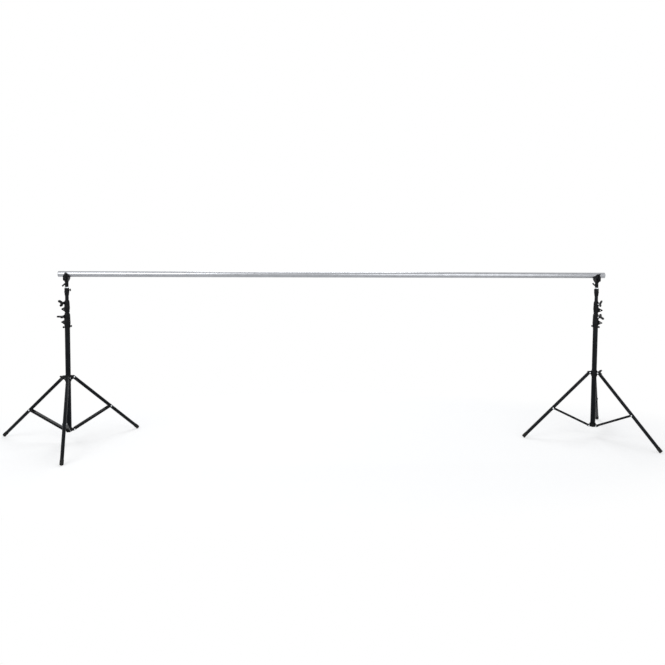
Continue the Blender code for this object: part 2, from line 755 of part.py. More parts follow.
def foot_mesh():
    """Rubber cap on the leg's end, seen from the same origin as the leg."""
    end = KNEE_DISTANCE - LEG_LENGTH
    outer = FOOT_RADIUS
    inner = LEG_RADIUS + GAP
    outline = [
        (outer, end + FOOT_SLEEVE),
        (outer, end - FOOT_SOLE * 0.35),
        (outer * SOLE_EDGE_RADIUS, end - FOOT_SOLE * SOLE_EDGE_DROP),
        (outer * 0.5, end - FOOT_SOLE),
        (0.0, end - FOOT_SOLE),
        (0.0, end - GAP),
        (inner, end - GAP),
        (inner, end + FOOT_SLEEVE),
    ]
    closed = outline + [outline[0]]
    return finished_mesh(turned("foot", closed, FACETS_MEDIUM))


def riser_head_mesh():
    """Riser head casting: seat for the riser below, socket for the stud above."""
    outline = [
        (HEAD_RADIUS, HEAD_HEIGHT),
        (HEAD_RADIUS + 0.8 * MM, HEAD_HEIGHT * 0.9),
        (HEAD_RADIUS + 0.8 * MM, HEAD_HEIGHT * 0.74),
        (HEAD_RADIUS, HEAD_HEIGHT * 0.71),
        (HEAD_BELLY, HEAD_HEIGHT * 0.6),
        (HEAD_BELLY, HEAD_HEIGHT * 0.42),
        (HEAD_RADIUS, HEAD_HEIGHT * 0.3),
        (HEAD_RADIUS, HEAD_HEIGHT * 0.2),
        (UPPER_RISER_RADIUS + GAP + 1.6 * MM, HEAD_HEIGHT * 0.12),
        (UPPER_RISER_RADIUS + GAP + 1.4 * MM, 0.0),
        (UPPER_RISER_RADIUS + GAP, 0.0),
        (UPPER_RISER_RADIUS + GAP, HEAD_SEAT + GAP),
        (STUD_RADIUS + GAP, HEAD_SEAT + GAP),
        (STUD_RADIUS + GAP, HEAD_HEIGHT),
    ]
    head = turned("riser_head", outline, FACETS_CAST, True)
    screw_hole = rod(
        "screw_hole",
        BOLT_RADIUS + GAP,
        (0, 0, HEAD_SCREW_HEIGHT),
        (2 * HEAD_RADIUS, 0, HEAD_SCREW_HEIGHT),
    )
    cut(head, screw_hole)
    return finished_mesh(head)


def head_screw_mesh():
    """Small T screw along +X: shank from the stud's side, collar and cross grip."""
    start = STUD_RADIUS + GAP
    collar = HEAD_BELLY + 3 * GAP
    grip_x = HEAD_RADIUS + HEAD_SCREW_REACH - HEAD_SCREW_GRIP
    screw = rod("head_screw", BOLT_RADIUS, (start, 0, 0), (grip_x + HEAD_SCREW_GRIP / 2, 0, 0))
    half = HEAD_SCREW_BAR / 2
    grip = rod("grip", HEAD_SCREW_GRIP, (grip_x, 0, -half), (grip_x, 0, half))
    flange = rod("flange", HEAD_SCREW_COLLAR, (collar, 0, 0), (collar + HEAD_SCREW_COLLAR_LENGTH, 0, 0))
    join(screw, flange, grip)
    return finished_mesh(screw)


def stud_mesh():
    """Reversible 16 mm stud with a flange; its flange stands on height zero."""
    groove = STUD_RADIUS - STUD_WAIST
    top = FLANGE_HEIGHT + STUD_ABOVE
    outline = [
        (0.0, top),
        (STUD_RADIUS, top),
        (STUD_RADIUS, top - STUD_ABOVE * 0.36),
        (groove, top - STUD_ABOVE * 0.42),
        (groove, top - STUD_ABOVE * 0.6),
        (STUD_RADIUS, top - STUD_ABOVE * 0.66),
        (STUD_RADIUS, FLANGE_HEIGHT),
        (FLANGE_RADIUS, FLANGE_HEIGHT),
        (FLANGE_RADIUS, 0.0),
        (STUD_RADIUS, 0.0),
        (STUD_RADIUS, -STUD_BELOW),
        (0.0, -STUD_BELOW),
    ]
    return finished_mesh(turned("stud", outline, FACETS_MEDIUM))


def clamp_body_mesh():
    """Clamp body: round socket, and a yoke with shoulders and a rear jaw behind the bar.

    The yoke's side outline and its front outline are crossed. Then the socket, the screw
    hole, the tongue's slot and the relief in the rear arm are cut.
    """
    seat = BAR_RADIUS + GAP
    face = JAW_FACE - GAP
    floor_angle = 180 + math.degrees(math.acos(face / seat))
    hook = arc(0.0, CLAMP_BAR_HEIGHT, seat, HOOK_ANGLE, floor_angle - 360, 12)
    reach = seat + REAR_WALL
    back = [
        (SOCKET_RADIUS * 0.8, YOKE_FOOT),
        (reach * 0.72, JAW_BOTTOM * 1.12),
        (reach * 0.9, CLAMP_SCREW_HEIGHT),
        (reach, CLAMP_BAR_HEIGHT * 0.86),
        (reach, CLAMP_BAR_HEIGHT * 1.06),
        (reach * 0.88, CLAMP_TOP * 0.98),
        (reach * 0.72, CLAMP_TOP),
        (seat * math.cos(math.radians(HOOK_ANGLE)) + GAP, CLAMP_TOP),
    ]
    front = [(-face, YOKE_FOOT * 1.12), (-SOCKET_RADIUS * 0.8, YOKE_FOOT)]
    width = 2 * SHOULDER_HALF_WIDTH
    body = plate("clamp_body", back + hook + front, 2 * width, "YZ")
    half = [
        (YOKE_HALF_FOOT, YOKE_FOOT * 0.9),
        (SHOULDER_HALF_WIDTH * 0.86, JAW_BOTTOM * 1.1),
        (SHOULDER_HALF_WIDTH, CLAMP_SCREW_HEIGHT * 0.95),
        (SHOULDER_HALF_WIDTH, CLAMP_BAR_HEIGHT * 0.88),
        (REAR_TOP_HALF_WIDTH, CLAMP_TOP),
    ]
    mirrored = [(-x, z) for x, z in reversed(half)]
    silhouette = plate("front_outline", half + mirrored, 4 * width)
    common(body, silhouette)
    barrel = turned(
        "barrel",
        [
            (0.0, SOCKET_HEIGHT),
            (SOCKET_RADIUS, SOCKET_HEIGHT),
            (SOCKET_RADIUS, SOCKET_RIM),
            (SOCKET_RADIUS - SOCKET_RIM, 0.0),
            (0.0, 0.0),
        ],
    )
    socket = rod(
        "socket",
        STUD_RADIUS + GAP,
        (0, 0, -STUD_ABOVE),
        (0, 0, STUD_ABOVE + GAP),
        FACETS_CAST,
    )
    screw_end = SCREW_SHANK_LENGTH - JAW_FACE - JAW_THICKNESS + SCREW_HOLE_CLEARANCE
    screw_hole = rod(
        "screw_hole",
        CLAMP_SCREW_RADIUS + GAP,
        (0, -width, CLAMP_SCREW_HEIGHT),
        (0, screw_end, CLAMP_SCREW_HEIGHT),
    )
    slot_half = TONGUE_WIDTH / 2 + GAP
    slot_rise = TONGUE_HEIGHT / 2 + GAP
    tongue_slot = box(
        "tongue_slot",
        (-slot_half, -width, TONGUE_LEVEL - slot_rise),
        (slot_half, TONGUE_LENGTH - JAW_FACE + GAP, TONGUE_LEVEL + slot_rise),
    )
    lever_hole = rod("lever_hole", BOLT_RADIUS + GAP, (-width, 0, LEVER_LEVEL), (0, 0, LEVER_LEVEL))
    relief = box(
        "rear_relief",
        (-SHOULDER_HALF_WIDTH * 0.4, reach - REAR_RELIEF, CLAMP_SCREW_HEIGHT * 1.1),
        (SHOULDER_HALF_WIDTH * 0.4, 2 * reach, CLAMP_BAR_HEIGHT * 1.06),
    )
    cut(body, screw_hole, tongue_slot, relief)
    join(body, barrel)
    cut(body, socket, lever_hole)
    return finished_mesh(body)


def clamp_jaw_mesh():
    """Front jaw with a pointed finger, sliding on its tongue; the origin is the clamp's underside."""
    seat = BAR_RADIUS + GAP
    low_angle = 180 + math.degrees(math.acos(JAW_FACE / seat))
    high_angle = 180 - math.degrees(math.asin((JAW_TOP - CLAMP_BAR_HEIGHT) / seat))
    cradle = arc(0.0, CLAMP_BAR_HEIGHT, seat, low_angle, high_angle, 8)
    outer = JAW_FACE + JAW_THICKNESS
    outline = [(-JAW_FACE, JAW_BOTTOM)] + cradle
    outline += [(-seat - JAW_THICKNESS * 0.15, JAW_TOP + 2 * GAP), (-outer * 0.94, CLAMP_BAR_HEIGHT * 0.98)]
    outline += [(-outer, CLAMP_SCREW_HEIGHT * 1.16), (-outer, CLAMP_SCREW_HEIGHT * 0.84)]
    outline += [(-outer + JAW_THICKNESS * 0.2, JAW_BOTTOM)]
    width = 2 * SHOULDER_HALF_WIDTH
    jaw = plate("clamp_jaw", outline, 2 * width, "YZ")
    half = [
        (SHOULDER_HALF_WIDTH * 0.74, JAW_BOTTOM * 0.9),
        (SHOULDER_HALF_WIDTH, JAW_BOTTOM * 1.2),
        (SHOULDER_HALF_WIDTH, CLAMP_BAR_HEIGHT * 0.84),
        (JAW_TIP_HALF_WIDTH, JAW_TOP * 1.02),
    ]
    mirrored = [(-x, z) for x, z in reversed(half)]
    silhouette = plate("jaw_outline", half + mirrored, 4 * width)
    common(jaw, silhouette)
    tongue = box(
        "tongue",
        (-TONGUE_WIDTH / 2, -JAW_FACE - JAW_THICKNESS * 0.2, TONGUE_LEVEL - TONGUE_HEIGHT / 2),
        (TONGUE_WIDTH / 2, TONGUE_LENGTH - JAW_FACE, TONGUE_LEVEL + TONGUE_HEIGHT / 2),
    )
    join(jaw, tongue)
    screw_hole = rod(
        "screw_hole",
        CLAMP_SCREW_RADIUS + GAP,
        (0, -width, CLAMP_SCREW_HEIGHT),
        (0, 0, CLAMP_SCREW_HEIGHT),
    )
    pocket_x = SHOULDER_HALF_WIDTH * 0.7
    pocket_floor = POCKET_DEPTH - outer
    pocket_top = CLAMP_BAR_HEIGHT * 0.8
    pockets = [
        box(
            "jaw_pocket",
            (side * pocket_x - POCKET_HALF_WIDTH, -2 * outer, JAW_BOTTOM * 1.25),
            (side * pocket_x + POCKET_HALF_WIDTH, pocket_floor, pocket_top),
        )
        for side in (-1, 1)
    ]
    cut(jaw, screw_hole, *pockets)
    return finished_mesh(jaw)


def clamp_screw_mesh():
    """Clamp screw along Y with a drilled head in front and a sliding bar along Z."""
    screw = rod("clamp_screw", SCREW_HEAD_SIZE, (0, -SCREW_HEAD_LENGTH, 0), (0, 0, 0), FACETS_MEDIUM)
    shank = rod("shank", CLAMP_SCREW_RADIUS, (0, -SCREW_HEAD_LENGTH * 0.2, 0), (0, SCREW_SHANK_LENGTH, 0))
    level = -SCREW_HEAD_LENGTH / 2
    low = SLIDING_BAR_OFFSET - SLIDING_BAR_LENGTH / 2
    high = SLIDING_BAR_OFFSET + SLIDING_BAR_LENGTH / 2
    bar = rod("sliding_bar", SLIDING_BAR_RADIUS, (0, level, low), (0, level, high))
    ends = [ball("bar_end", SLIDING_BAR_RADIUS * 1.7, (0, level, z)) for z in (low, high)]
    join(screw, shank, bar, *ends)
    return finished_mesh(screw)


def lock_lever_mesh():
    """Socket lock lever along -X: shank, boss and an arm that leans out and up."""
    start = -STUD_RADIUS - 2 * GAP
    boss_start = -SOCKET_RADIUS - GAP
    boss_end = boss_start - LEVER_BOSS_LENGTH
    lever = rod("clamp_lock_lever", LEVER_BOSS_RADIUS, (boss_start, 0, 0), (boss_end, 0, 0))
    shank = rod("shank", BOLT_RADIUS, (start, 0, 0), (boss_start - LEVER_BOSS_LENGTH / 3, 0, 0))
    lean = LEVER_LENGTH / math.sqrt(2)
    arm_start = (boss_start - LEVER_BOSS_LENGTH * 0.6, 0, 0)
    arm_end = (boss_end - lean * 0.8, 0, lean)
    arm = rod("arm", LEVER_ARM_RADIUS, arm_start, arm_end, end_radius=LEVER_TIP_RADIUS)
    join(lever, shank, arm)
    return finished_mesh(lever)


def build_leg_set(side, stand, meshes, levels, azimuth):
    """Hubs, legs, feet, braces and rivets of one stand."""
    turned_stand = empty(side + "leg_axes", stand, turn=(0, 0, azimuth))
    hub_axis = empty(side + "leg_hub_axis", turned_stand, (0, 0, levels["hub"]))
    place(side + "leg_hub", meshes["leg_hub"], BLACK_CASTING, hub_axis)
    knob_turn = math.pi / LEGS_PER_STAND
    knob_reach = HUB_RADIUS + HUB_BOSS_REACH + GAP
    knob_axis = empty(
        side + "hub_knob_axis",
        hub_axis,
        (knob_reach * math.cos(knob_turn), knob_reach * math.sin(knob_turn), 0),
        (0, math.radians(90), knob_turn),
    )
    place(side + "hub_knob", meshes["hub_knob"], BLACK_PLASTIC, knob_axis)
    low_axis = empty(side + "lower_hub_axis", turned_stand, (0, 0, levels["lower_pivot"]))
    place(side + "lower_hub", meshes["lower_hub"], BLACK_CASTING, low_axis)
    for index in range(LEGS_PER_STAND):
        number = str(index + 1)
        facing = 2 * math.pi * index / LEGS_PER_STAND
        spoke = empty(side + "spoke_" + number, low_axis, turn=(0, 0, facing))
        brace_axis = empty(
            side + "brace_axis_" + number, spoke, (LOWER_PIVOT_RADIUS, 0, 0), (0, -levels["rise"], 0)
        )
        place(side + "brace_" + number, meshes["brace"], BLACK_CASTING, brace_axis)
        knee = empty(
            side + "knee_axis_" + number,
            brace_axis,
            (BRACE_LENGTH, 0, 0),
            (0, levels["rise"] - levels["spread"], 0),
        )
        place(side + "leg_" + number, meshes["leg"], BLACK_TUBE, knee)
        place(side + "foot_" + number, meshes["foot"], BLACK_RUBBER, knee)


def build_column(side, stand, meshes, levels, base_setting, riser_setting):
    """Column tubes, collars, their screws and their wing knobs."""
    place(side + "base_column", meshes["base_column"], BLACK_TUBE, stand, (0, 0, levels["column_foot"]))
    lower_foot = levels["lower_riser_top"] - LOWER_RISER_LENGTH
    place(side + "lower_riser", meshes["lower_riser"], BLACK_TUBE, stand, (0, 0, lower_foot))
    upper_foot = UPPER_RISER_TOP - UPPER_RISER_LENGTH
    place(side + "upper_riser", meshes["upper_riser"], BLACK_TUBE, stand, (0, 0, upper_foot))
    collars = (
        ("base", levels["base_collar"], BASE_COLLAR_HEIGHT, COLUMN_RADIUS, base_setting),
        ("riser", levels["riser_collar"], RISER_COLLAR_HEIGHT, LOWER_RISER_RADIUS, riser_setting),
    )
    for name, level, height, tube_radius, setting in collars:
        facing = empty(side + name + "_collar_axis", stand, (0, 0, level), (0, 0, setting["azimuth"]))
        place(side + name + "_collar", meshes[name + "_collar"], BLACK_CASTING, facing)
        knob_axis = empty(
            side + name + "_knob_axis",
            facing,
            (bolt_reach(tube_radius), EAR_BOSS_WIDTH / 2 + GAP, height * EAR_LEVEL),
            (math.radians(-90), 0, 0),
        )
        turn = (0, 0, setting["wing"])
        place(side + name + "_knob", meshes["wing_knob"], BLACK_PLASTIC, knob_axis, turn=turn)
    inward = 1 if side == "left_" else -1
    screw_radius = COLUMN_RADIUS + COLLAR_WALL + 2 * GAP
    for number, way in (("1", 1), ("2", -1)):
        level = INNER_SCREW_LEVEL if way == inward else OUTER_SCREW_LEVEL
        place(
            side + "collar_screw_" + number,
            meshes["collar_screw"],
            BLACK_STEEL,
            stand,
            (way * screw_radius, 0, levels["base_collar"] + level),
            (0, math.radians(90 * way), 0),
        )


def build_head(side, stand, meshes, screw_azimuth, bar_tilt, lever_turn):
    """Riser head, stud and jaw clamp on top of one stand."""
    facing = (0, 0, screw_azimuth)
    place(side + "riser_head", meshes["riser_head"], BLACK_CASTING, stand, (0, 0, HEAD_LEVEL), facing)
    screw_level = HEAD_LEVEL + HEAD_SCREW_HEIGHT
    place(side + "head_screw", meshes["head_screw"], BLACK_PLASTIC, stand, (0, 0, screw_level), facing)
    place(side + "stud", meshes["stud"], BRIGHT_STEEL, stand, (0, 0, FLANGE_LEVEL))
    clamp = empty(side + "clamp_axis", stand, (0, 0, CLAMP_LEVEL))
    place(side + "clamp_body", meshes["clamp_body"], BLACK_CASTING, clamp)
    place(side + "clamp_jaw", meshes["clamp_jaw"], BLACK_CASTING, clamp)
    screw_y = -JAW_FACE - JAW_THICKNESS - GAP
    screw_axis = empty(side + "clamp_screw_axis", clamp, (0, screw_y, CLAMP_SCREW_HEIGHT))
    place(side + "clamp_screw", meshes["clamp_screw"], BLACK_STEEL, screw_axis, turn=(0, bar_tilt, 0))
    lever_axis = empty(side + "lever_axis", clamp, (0, 0, LEVER_LEVEL))
    place(side + "clamp_lock_lever", meshes["lock_lever"], BLACK_STEEL, lever_axis, turn=(lever_turn, 0, 0))


def stand_on_floor(root):
    """Move the whole object so that its footprint is centred on the origin at floor level."""
    bpy.context.view_layer.update()
    corners = []
    for made in PARTS.objects:
        if made.type == "MESH":
            corners += [made.matrix_world @ vertex.co for vertex in made.data.vertices]
    low = [min(corner[axis] for corner in corners) for axis in range(3)]
    high = [max(corner[axis] for corner in corners) for axis in range(3)]
    root.location = (-(low[0] + high[0]) / 2, -(low[1] + high[1]) / 2, -low[2])
    bpy.context.view_layer.update()


def main():
    """Make every shape once, then place both stands and the crossbar."""
    meshes = {
        "base_column": column_mesh(),
        "lower_riser": riser_mesh("lower_riser", LOWER_RISER_RADIUS, COLUMN_RADIUS, LOWER_RISER_LENGTH),
        "upper_riser": riser_mesh(
            "upper_riser", UPPER_RISER_RADIUS, LOWER_RISER_RADIUS, UPPER_RISER_LENGTH
        ),
        "base_collar": collar_mesh(
            "base_collar",
            COLUMN_RADIUS,
            LOWER_RISER_RADIUS,
            BASE_COLLAR_HEIGHT,
            BASE_EYE_LEVEL,
        ),
        "riser_collar": collar_mesh(
            "riser_collar",
            LOWER_RISER_RADIUS,
            UPPER_RISER_RADIUS,
            RISER_COLLAR_HEIGHT,
            RISER_EYE_LEVEL,
        ),
        "collar_screw": collar_screw_mesh(),
        "bar_plug": bar_plug_mesh(),
        "wing_knob": wing_knob_mesh(
            "wing_knob", WING_SPAN, WING_HEIGHT, WING_LOBE_RADIUS, EAR_BOSS_WIDTH + BOLT_PROUD
        ),
        "hub_knob": wing_knob_mesh(
            "hub_knob",
            HUB_WING_SPAN,
            HUB_WING_HEIGHT,
            HUB_WING_LOBE_RADIUS,
            HUB_BOSS_REACH + HUB_WALL - GAP,
        ),
        "lower_hub": lower_hub_mesh(),
        "leg_hub": leg_hub_mesh(),
        "brace": brace_mesh(),
        "leg": leg_mesh(),
        "foot": foot_mesh(),
        "riser_head": riser_head_mesh(),
        "head_screw": head_screw_mesh(),
        "stud": stud_mesh(),
        "clamp_body": clamp_body_mesh(),
        "clamp_jaw": clamp_jaw_mesh(),
        "clamp_screw": clamp_screw_mesh(),
        "lock_lever": lock_lever_mesh(),
    }
    root = empty("backdrop_stand_origin")
    half = STAND_SPACING / 2
    left = empty("left_stand_axis", root, (-half, 0, 0))
    right = empty("right_stand_axis", root, (half, 0, 0))
    build_leg_set("left_", left, meshes, LEFT_LEVELS, LEFT_LEG_AZIMUTH)
    build_leg_set("right_", right, meshes, RIGHT_LEVELS, RIGHT_LEG_AZIMUTH)
    build_column("left_", left, meshes, LEFT_LEVELS, LEFT_BASE_COLLAR, LEFT_RISER_COLLAR)
    build_column("right_", right, meshes, RIGHT_LEVELS, RIGHT_BASE_COLLAR, RIGHT_RISER_COLLAR)
    build_head(
        "left_", left, meshes, LEFT_HEAD_SCREW_AZIMUTH, LEFT_SLIDING_BAR_TILT, LEFT_LEVER_TURN
    )
    build_head(
        "right_", right, meshes, RIGHT_HEAD_SCREW_AZIMUTH, RIGHT_SLIDING_BAR_TILT, RIGHT_LEVER_TURN
    )
    bar_axis = empty("bar_axis", root, (0, 0, BAR_LEVEL))
    place("crossbar", crossbar_mesh(), BARE_ALUMINIUM, bar_axis)
    plug_reach = BAR_LENGTH / 2 + GAP
    for name, way in (("left_bar_plug", -1), ("right_bar_plug", 1)):
        facing = (0, math.radians(90 * way), 0)
        place(name, meshes["bar_plug"], GREY_PLASTIC, bar_axis, (way * plug_reach, 0, 0), facing)
    stand_on_floor(root)


main()
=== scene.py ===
"""Backdrop stand: a bare aluminium crossbar in two jaw clamps on folding light stands.

Metres, +Z up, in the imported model's frame: X along the crossbar, -Y towards the viewer.
"""
from __future__ import annotations

import json
import logging
import math
from dataclasses import dataclass, field
from enum import Enum
from typing import Iterable, Sequence

import bmesh
import bpy
from mathutils import Matrix, Vector
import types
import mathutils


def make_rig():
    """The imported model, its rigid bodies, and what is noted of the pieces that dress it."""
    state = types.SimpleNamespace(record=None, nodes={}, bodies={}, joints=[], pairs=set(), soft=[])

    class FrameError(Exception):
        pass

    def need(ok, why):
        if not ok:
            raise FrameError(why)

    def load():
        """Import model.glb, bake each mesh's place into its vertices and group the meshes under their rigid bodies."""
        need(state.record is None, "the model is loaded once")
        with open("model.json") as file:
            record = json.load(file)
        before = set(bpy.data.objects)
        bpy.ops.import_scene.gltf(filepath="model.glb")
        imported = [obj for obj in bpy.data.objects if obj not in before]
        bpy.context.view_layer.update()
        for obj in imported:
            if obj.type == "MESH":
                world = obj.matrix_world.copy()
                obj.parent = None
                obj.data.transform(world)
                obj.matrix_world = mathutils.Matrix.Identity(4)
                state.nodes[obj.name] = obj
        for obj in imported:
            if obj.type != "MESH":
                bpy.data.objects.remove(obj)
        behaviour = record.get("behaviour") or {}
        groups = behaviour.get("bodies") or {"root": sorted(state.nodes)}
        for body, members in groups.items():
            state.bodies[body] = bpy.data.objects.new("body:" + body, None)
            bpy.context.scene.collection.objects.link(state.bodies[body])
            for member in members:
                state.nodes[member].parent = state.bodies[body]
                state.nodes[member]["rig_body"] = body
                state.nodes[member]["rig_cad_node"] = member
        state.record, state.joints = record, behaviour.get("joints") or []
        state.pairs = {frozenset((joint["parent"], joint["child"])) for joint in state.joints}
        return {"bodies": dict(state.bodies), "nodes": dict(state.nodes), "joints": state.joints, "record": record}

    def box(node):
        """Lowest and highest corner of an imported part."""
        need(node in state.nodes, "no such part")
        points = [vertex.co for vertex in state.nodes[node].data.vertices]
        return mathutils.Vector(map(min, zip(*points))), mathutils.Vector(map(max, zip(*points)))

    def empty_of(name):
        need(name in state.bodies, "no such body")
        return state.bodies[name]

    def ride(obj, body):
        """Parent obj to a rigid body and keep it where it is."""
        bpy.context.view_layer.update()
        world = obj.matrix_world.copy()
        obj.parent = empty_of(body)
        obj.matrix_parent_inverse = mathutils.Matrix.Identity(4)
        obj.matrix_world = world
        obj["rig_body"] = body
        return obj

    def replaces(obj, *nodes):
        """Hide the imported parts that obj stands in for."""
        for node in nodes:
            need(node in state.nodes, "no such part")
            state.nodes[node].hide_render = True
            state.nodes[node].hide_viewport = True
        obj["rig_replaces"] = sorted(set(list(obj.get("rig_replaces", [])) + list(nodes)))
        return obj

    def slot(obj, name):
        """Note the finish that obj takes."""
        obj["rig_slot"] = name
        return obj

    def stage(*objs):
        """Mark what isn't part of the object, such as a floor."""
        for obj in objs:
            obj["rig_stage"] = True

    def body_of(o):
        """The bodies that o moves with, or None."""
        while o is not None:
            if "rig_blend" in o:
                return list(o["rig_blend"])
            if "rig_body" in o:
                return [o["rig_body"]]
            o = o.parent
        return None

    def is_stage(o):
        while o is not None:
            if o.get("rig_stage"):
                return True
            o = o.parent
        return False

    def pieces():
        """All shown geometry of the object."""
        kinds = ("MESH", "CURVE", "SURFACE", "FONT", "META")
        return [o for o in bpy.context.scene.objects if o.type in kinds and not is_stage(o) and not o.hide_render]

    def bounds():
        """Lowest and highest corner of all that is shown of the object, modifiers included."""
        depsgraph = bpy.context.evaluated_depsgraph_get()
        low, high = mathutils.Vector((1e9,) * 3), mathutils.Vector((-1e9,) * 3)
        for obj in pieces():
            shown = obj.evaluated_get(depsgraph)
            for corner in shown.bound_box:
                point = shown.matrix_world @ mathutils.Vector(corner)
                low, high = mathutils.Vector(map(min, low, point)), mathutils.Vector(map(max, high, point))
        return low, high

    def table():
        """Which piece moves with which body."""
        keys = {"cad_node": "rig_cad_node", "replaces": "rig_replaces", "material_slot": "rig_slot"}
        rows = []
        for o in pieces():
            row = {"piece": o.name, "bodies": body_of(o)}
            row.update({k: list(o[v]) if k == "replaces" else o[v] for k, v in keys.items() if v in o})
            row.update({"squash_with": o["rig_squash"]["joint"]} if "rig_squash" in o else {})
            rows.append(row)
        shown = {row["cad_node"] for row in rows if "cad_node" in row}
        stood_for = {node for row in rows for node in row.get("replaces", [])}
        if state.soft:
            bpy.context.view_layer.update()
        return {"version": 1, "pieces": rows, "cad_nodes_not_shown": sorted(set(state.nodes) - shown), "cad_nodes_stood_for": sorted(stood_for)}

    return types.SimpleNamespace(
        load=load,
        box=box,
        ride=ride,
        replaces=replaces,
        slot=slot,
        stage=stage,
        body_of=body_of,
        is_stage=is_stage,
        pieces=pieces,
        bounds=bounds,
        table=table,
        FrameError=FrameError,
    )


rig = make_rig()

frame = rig.load()
CAD_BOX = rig.bounds()
SIZE_FILE = "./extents.json"

logging.basicConfig(level=logging.INFO, format="%(levelname)s %(message)s")
log = logging.getLogger("backdrop_stand")

MM = 0.001
# Steps outwards and upwards of a millimetre each
MILLIMETRES = (MM, MM)
# Clearance between parts that slide or turn on each other
GAP = 0.3 * MM
# Steps round a column, a leg, a small body, a rivet or eye, and a knob's bolt
ROUND, ROUND_LEG, ROUND_SMALL, ROUND_RIVET, ROUND_BOLT = 64, 48, 32, 24, 20
# Edges that turn by less than this many degrees are shaded smooth
SMOOTH_UNDER = 38
LEGS = (1, 2, 3)
WHITE = "ffffff"

Point = tuple[float, float]
Place = tuple[float, float, float]


class Side(Enum):
    """Which of the two stands a piece belongs to."""

    LEFT = "left"
    RIGHT = "right"

    @property
    def tag(self) -> str:
        """Prefix of the stand's nodes and bodies."""
        return self.value + "_"


class Axis(Enum):
    """Axis that a turned or flat shape is laid along."""

    X = "X"
    Y = "Y"
    Z = "Z"


def put(name: str, data: bpy.types.ID) -> bpy.types.Object:
    """Make an object of some data and link it to the scene.

    Args:
        name: the object's name.
        data: its mesh, lamp or camera.

    Returns:
        The object.
    """
    made = bpy.data.objects.new(name, data)
    bpy.context.scene.collection.objects.link(made)
    return made


# Finishes


def linear(hex_colour: str) -> tuple[float, float, float, float]:
    """Turn an sRGB hex colour into the linear values that shaders take.

    Args:
        hex_colour: six digits, such as "c8ccd2".

    Returns:
        Red, green, blue and an alpha of one.
    """
    channels = [int(hex_colour[at : at + 2], 16) / 255 for at in (0, 2, 4)]
    bent = [c / 12.92 if c <= 0.04045 else ((c + 0.055) / 1.055) ** 2.4 for c in channels]
    return bent[0], bent[1], bent[2], 1.0


def add_node(
    tree: bpy.types.NodeTree,
    kind: str,
    settings: dict[str, object] | None = None,
    links: dict[str | int, bpy.types.NodeSocket] | None = None,
) -> bpy.types.Node:
    """Add one shader node with its settings and its incoming links.

    Args:
        tree: the node tree that takes the node.
        kind: Blender's name of the node type.
        settings: input sockets or properties by name.
        links: outgoing sockets of other nodes, by the name or number of the input that they feed.

    Returns:
        The new node.
    """
    node = tree.nodes.new(kind)
    for name, value in (settings or {}).items():
        if name in node.inputs:
            node.inputs[name].default_value = value
        else:
            setattr(node, name, value)
    for name, source in (links or {}).items():
        tree.links.new(source, node.inputs[name])
    return node


def new_material(name: str) -> tuple[bpy.types.Material, bpy.types.Node, bpy.types.NodeSocket]:
    """Start a node material.

    Args:
        name: what the real material is.

    Returns:
        The material, its Principled shader and its object coordinates.
    """
    made = bpy.data.materials.new(name)
    made.use_nodes = True
    coordinates = add_node(made.node_tree, "ShaderNodeTexCoord").outputs["Object"]
    return made, made.node_tree.nodes["Principled BSDF"], coordinates


def per_metre(millimetres: float) -> float:
    """Texture scale whose pattern repeats after the given size."""
    return 1000.0 / millimetres


def spread(first: float, last: float, low: float, high: float) -> dict[str, float]:
    """Settings of a range node that carries first..last over to low..high."""
    return {"From Min": first, "From Max": last, "To Min": low, "To Max": high}


@dataclass(frozen=True)
class Surface:
    """What all finishes share: a fine relief, and broad spots with another colour and gloss.

    Sizes in millimetres end in _mm. The cloud is the broad noise's detail and roughness, and its two
    colours lie at the stops. While the pattern runs over gloss_over, the roughness changes by the two
    values of gloss_change.
    """

    name: str
    colour: str
    spots: str
    roughness: float
    metallic: float = 0.0
    specular: float = 0.5
    fine_mm: float = 0.9
    relief: float = 0.35
    depth_mm: float = 0.12
    broad_mm: float = 14.0
    cloud: Point = (6.0, 0.68)
    stops: Point = (0.45, 0.8)
    gloss_over: Point = (0.35, 0.75)
    gloss_change: Point = (0.06, -0.12)
    gloss_follows_fine: bool = False

    def fine(self, tree: bpy.types.NodeTree, where: bpy.types.NodeSocket) -> bpy.types.NodeSocket:
        """Draw the fine pattern, here an even noise."""
        noise = {"Scale": per_metre(self.fine_mm), "Detail": 2.0}
        return add_node(tree, "ShaderNodeTexNoise", noise, {"Vector": where}).outputs["Fac"]

    def material(self) -> bpy.types.Material:
        """Build the material.

        Returns:
            The material, with its colour, gloss and relief from nodes.
        """
        made, shader, where = new_material(self.name)
        tree = made.node_tree
        fine = self.fine(tree, where)
        noise = {"Scale": per_metre(self.broad_mm), "Detail": self.cloud[0], "Roughness": self.cloud[1]}
        broad = add_node(tree, "ShaderNodeTexNoise", noise, {"Vector": where}).outputs["Fac"]
        tone = add_node(tree, "ShaderNodeValToRGB", links={"Fac": broad})
        for stop, at, colour in zip(tone.color_ramp.elements, self.stops, (self.colour, self.spots)):
            stop.position = at
            stop.color = linear(colour)
        low, high = (self.roughness + change for change in self.gloss_change)
        source = fine if self.gloss_follows_fine else broad
        gloss = add_node(tree, "ShaderNodeMapRange", spread(*self.gloss_over, low, high), {"Value": source})
        height = {"Strength": self.relief, "Distance": self.depth_mm * MM}
        bump = add_node(tree, "ShaderNodeBump", height, {"Height": fine})
        tree.links.new(tone.outputs["Color"], shader.inputs["Base Color"])
        tree.links.new(gloss.outputs["Result"], shader.inputs["Roughness"])
        tree.links.new(bump.outputs["Normal"], shader.inputs["Normal"])
        shader.inputs["Metallic"].default_value = self.metallic
        shader.inputs["Specular IOR Level"].default_value = self.specular
        return made


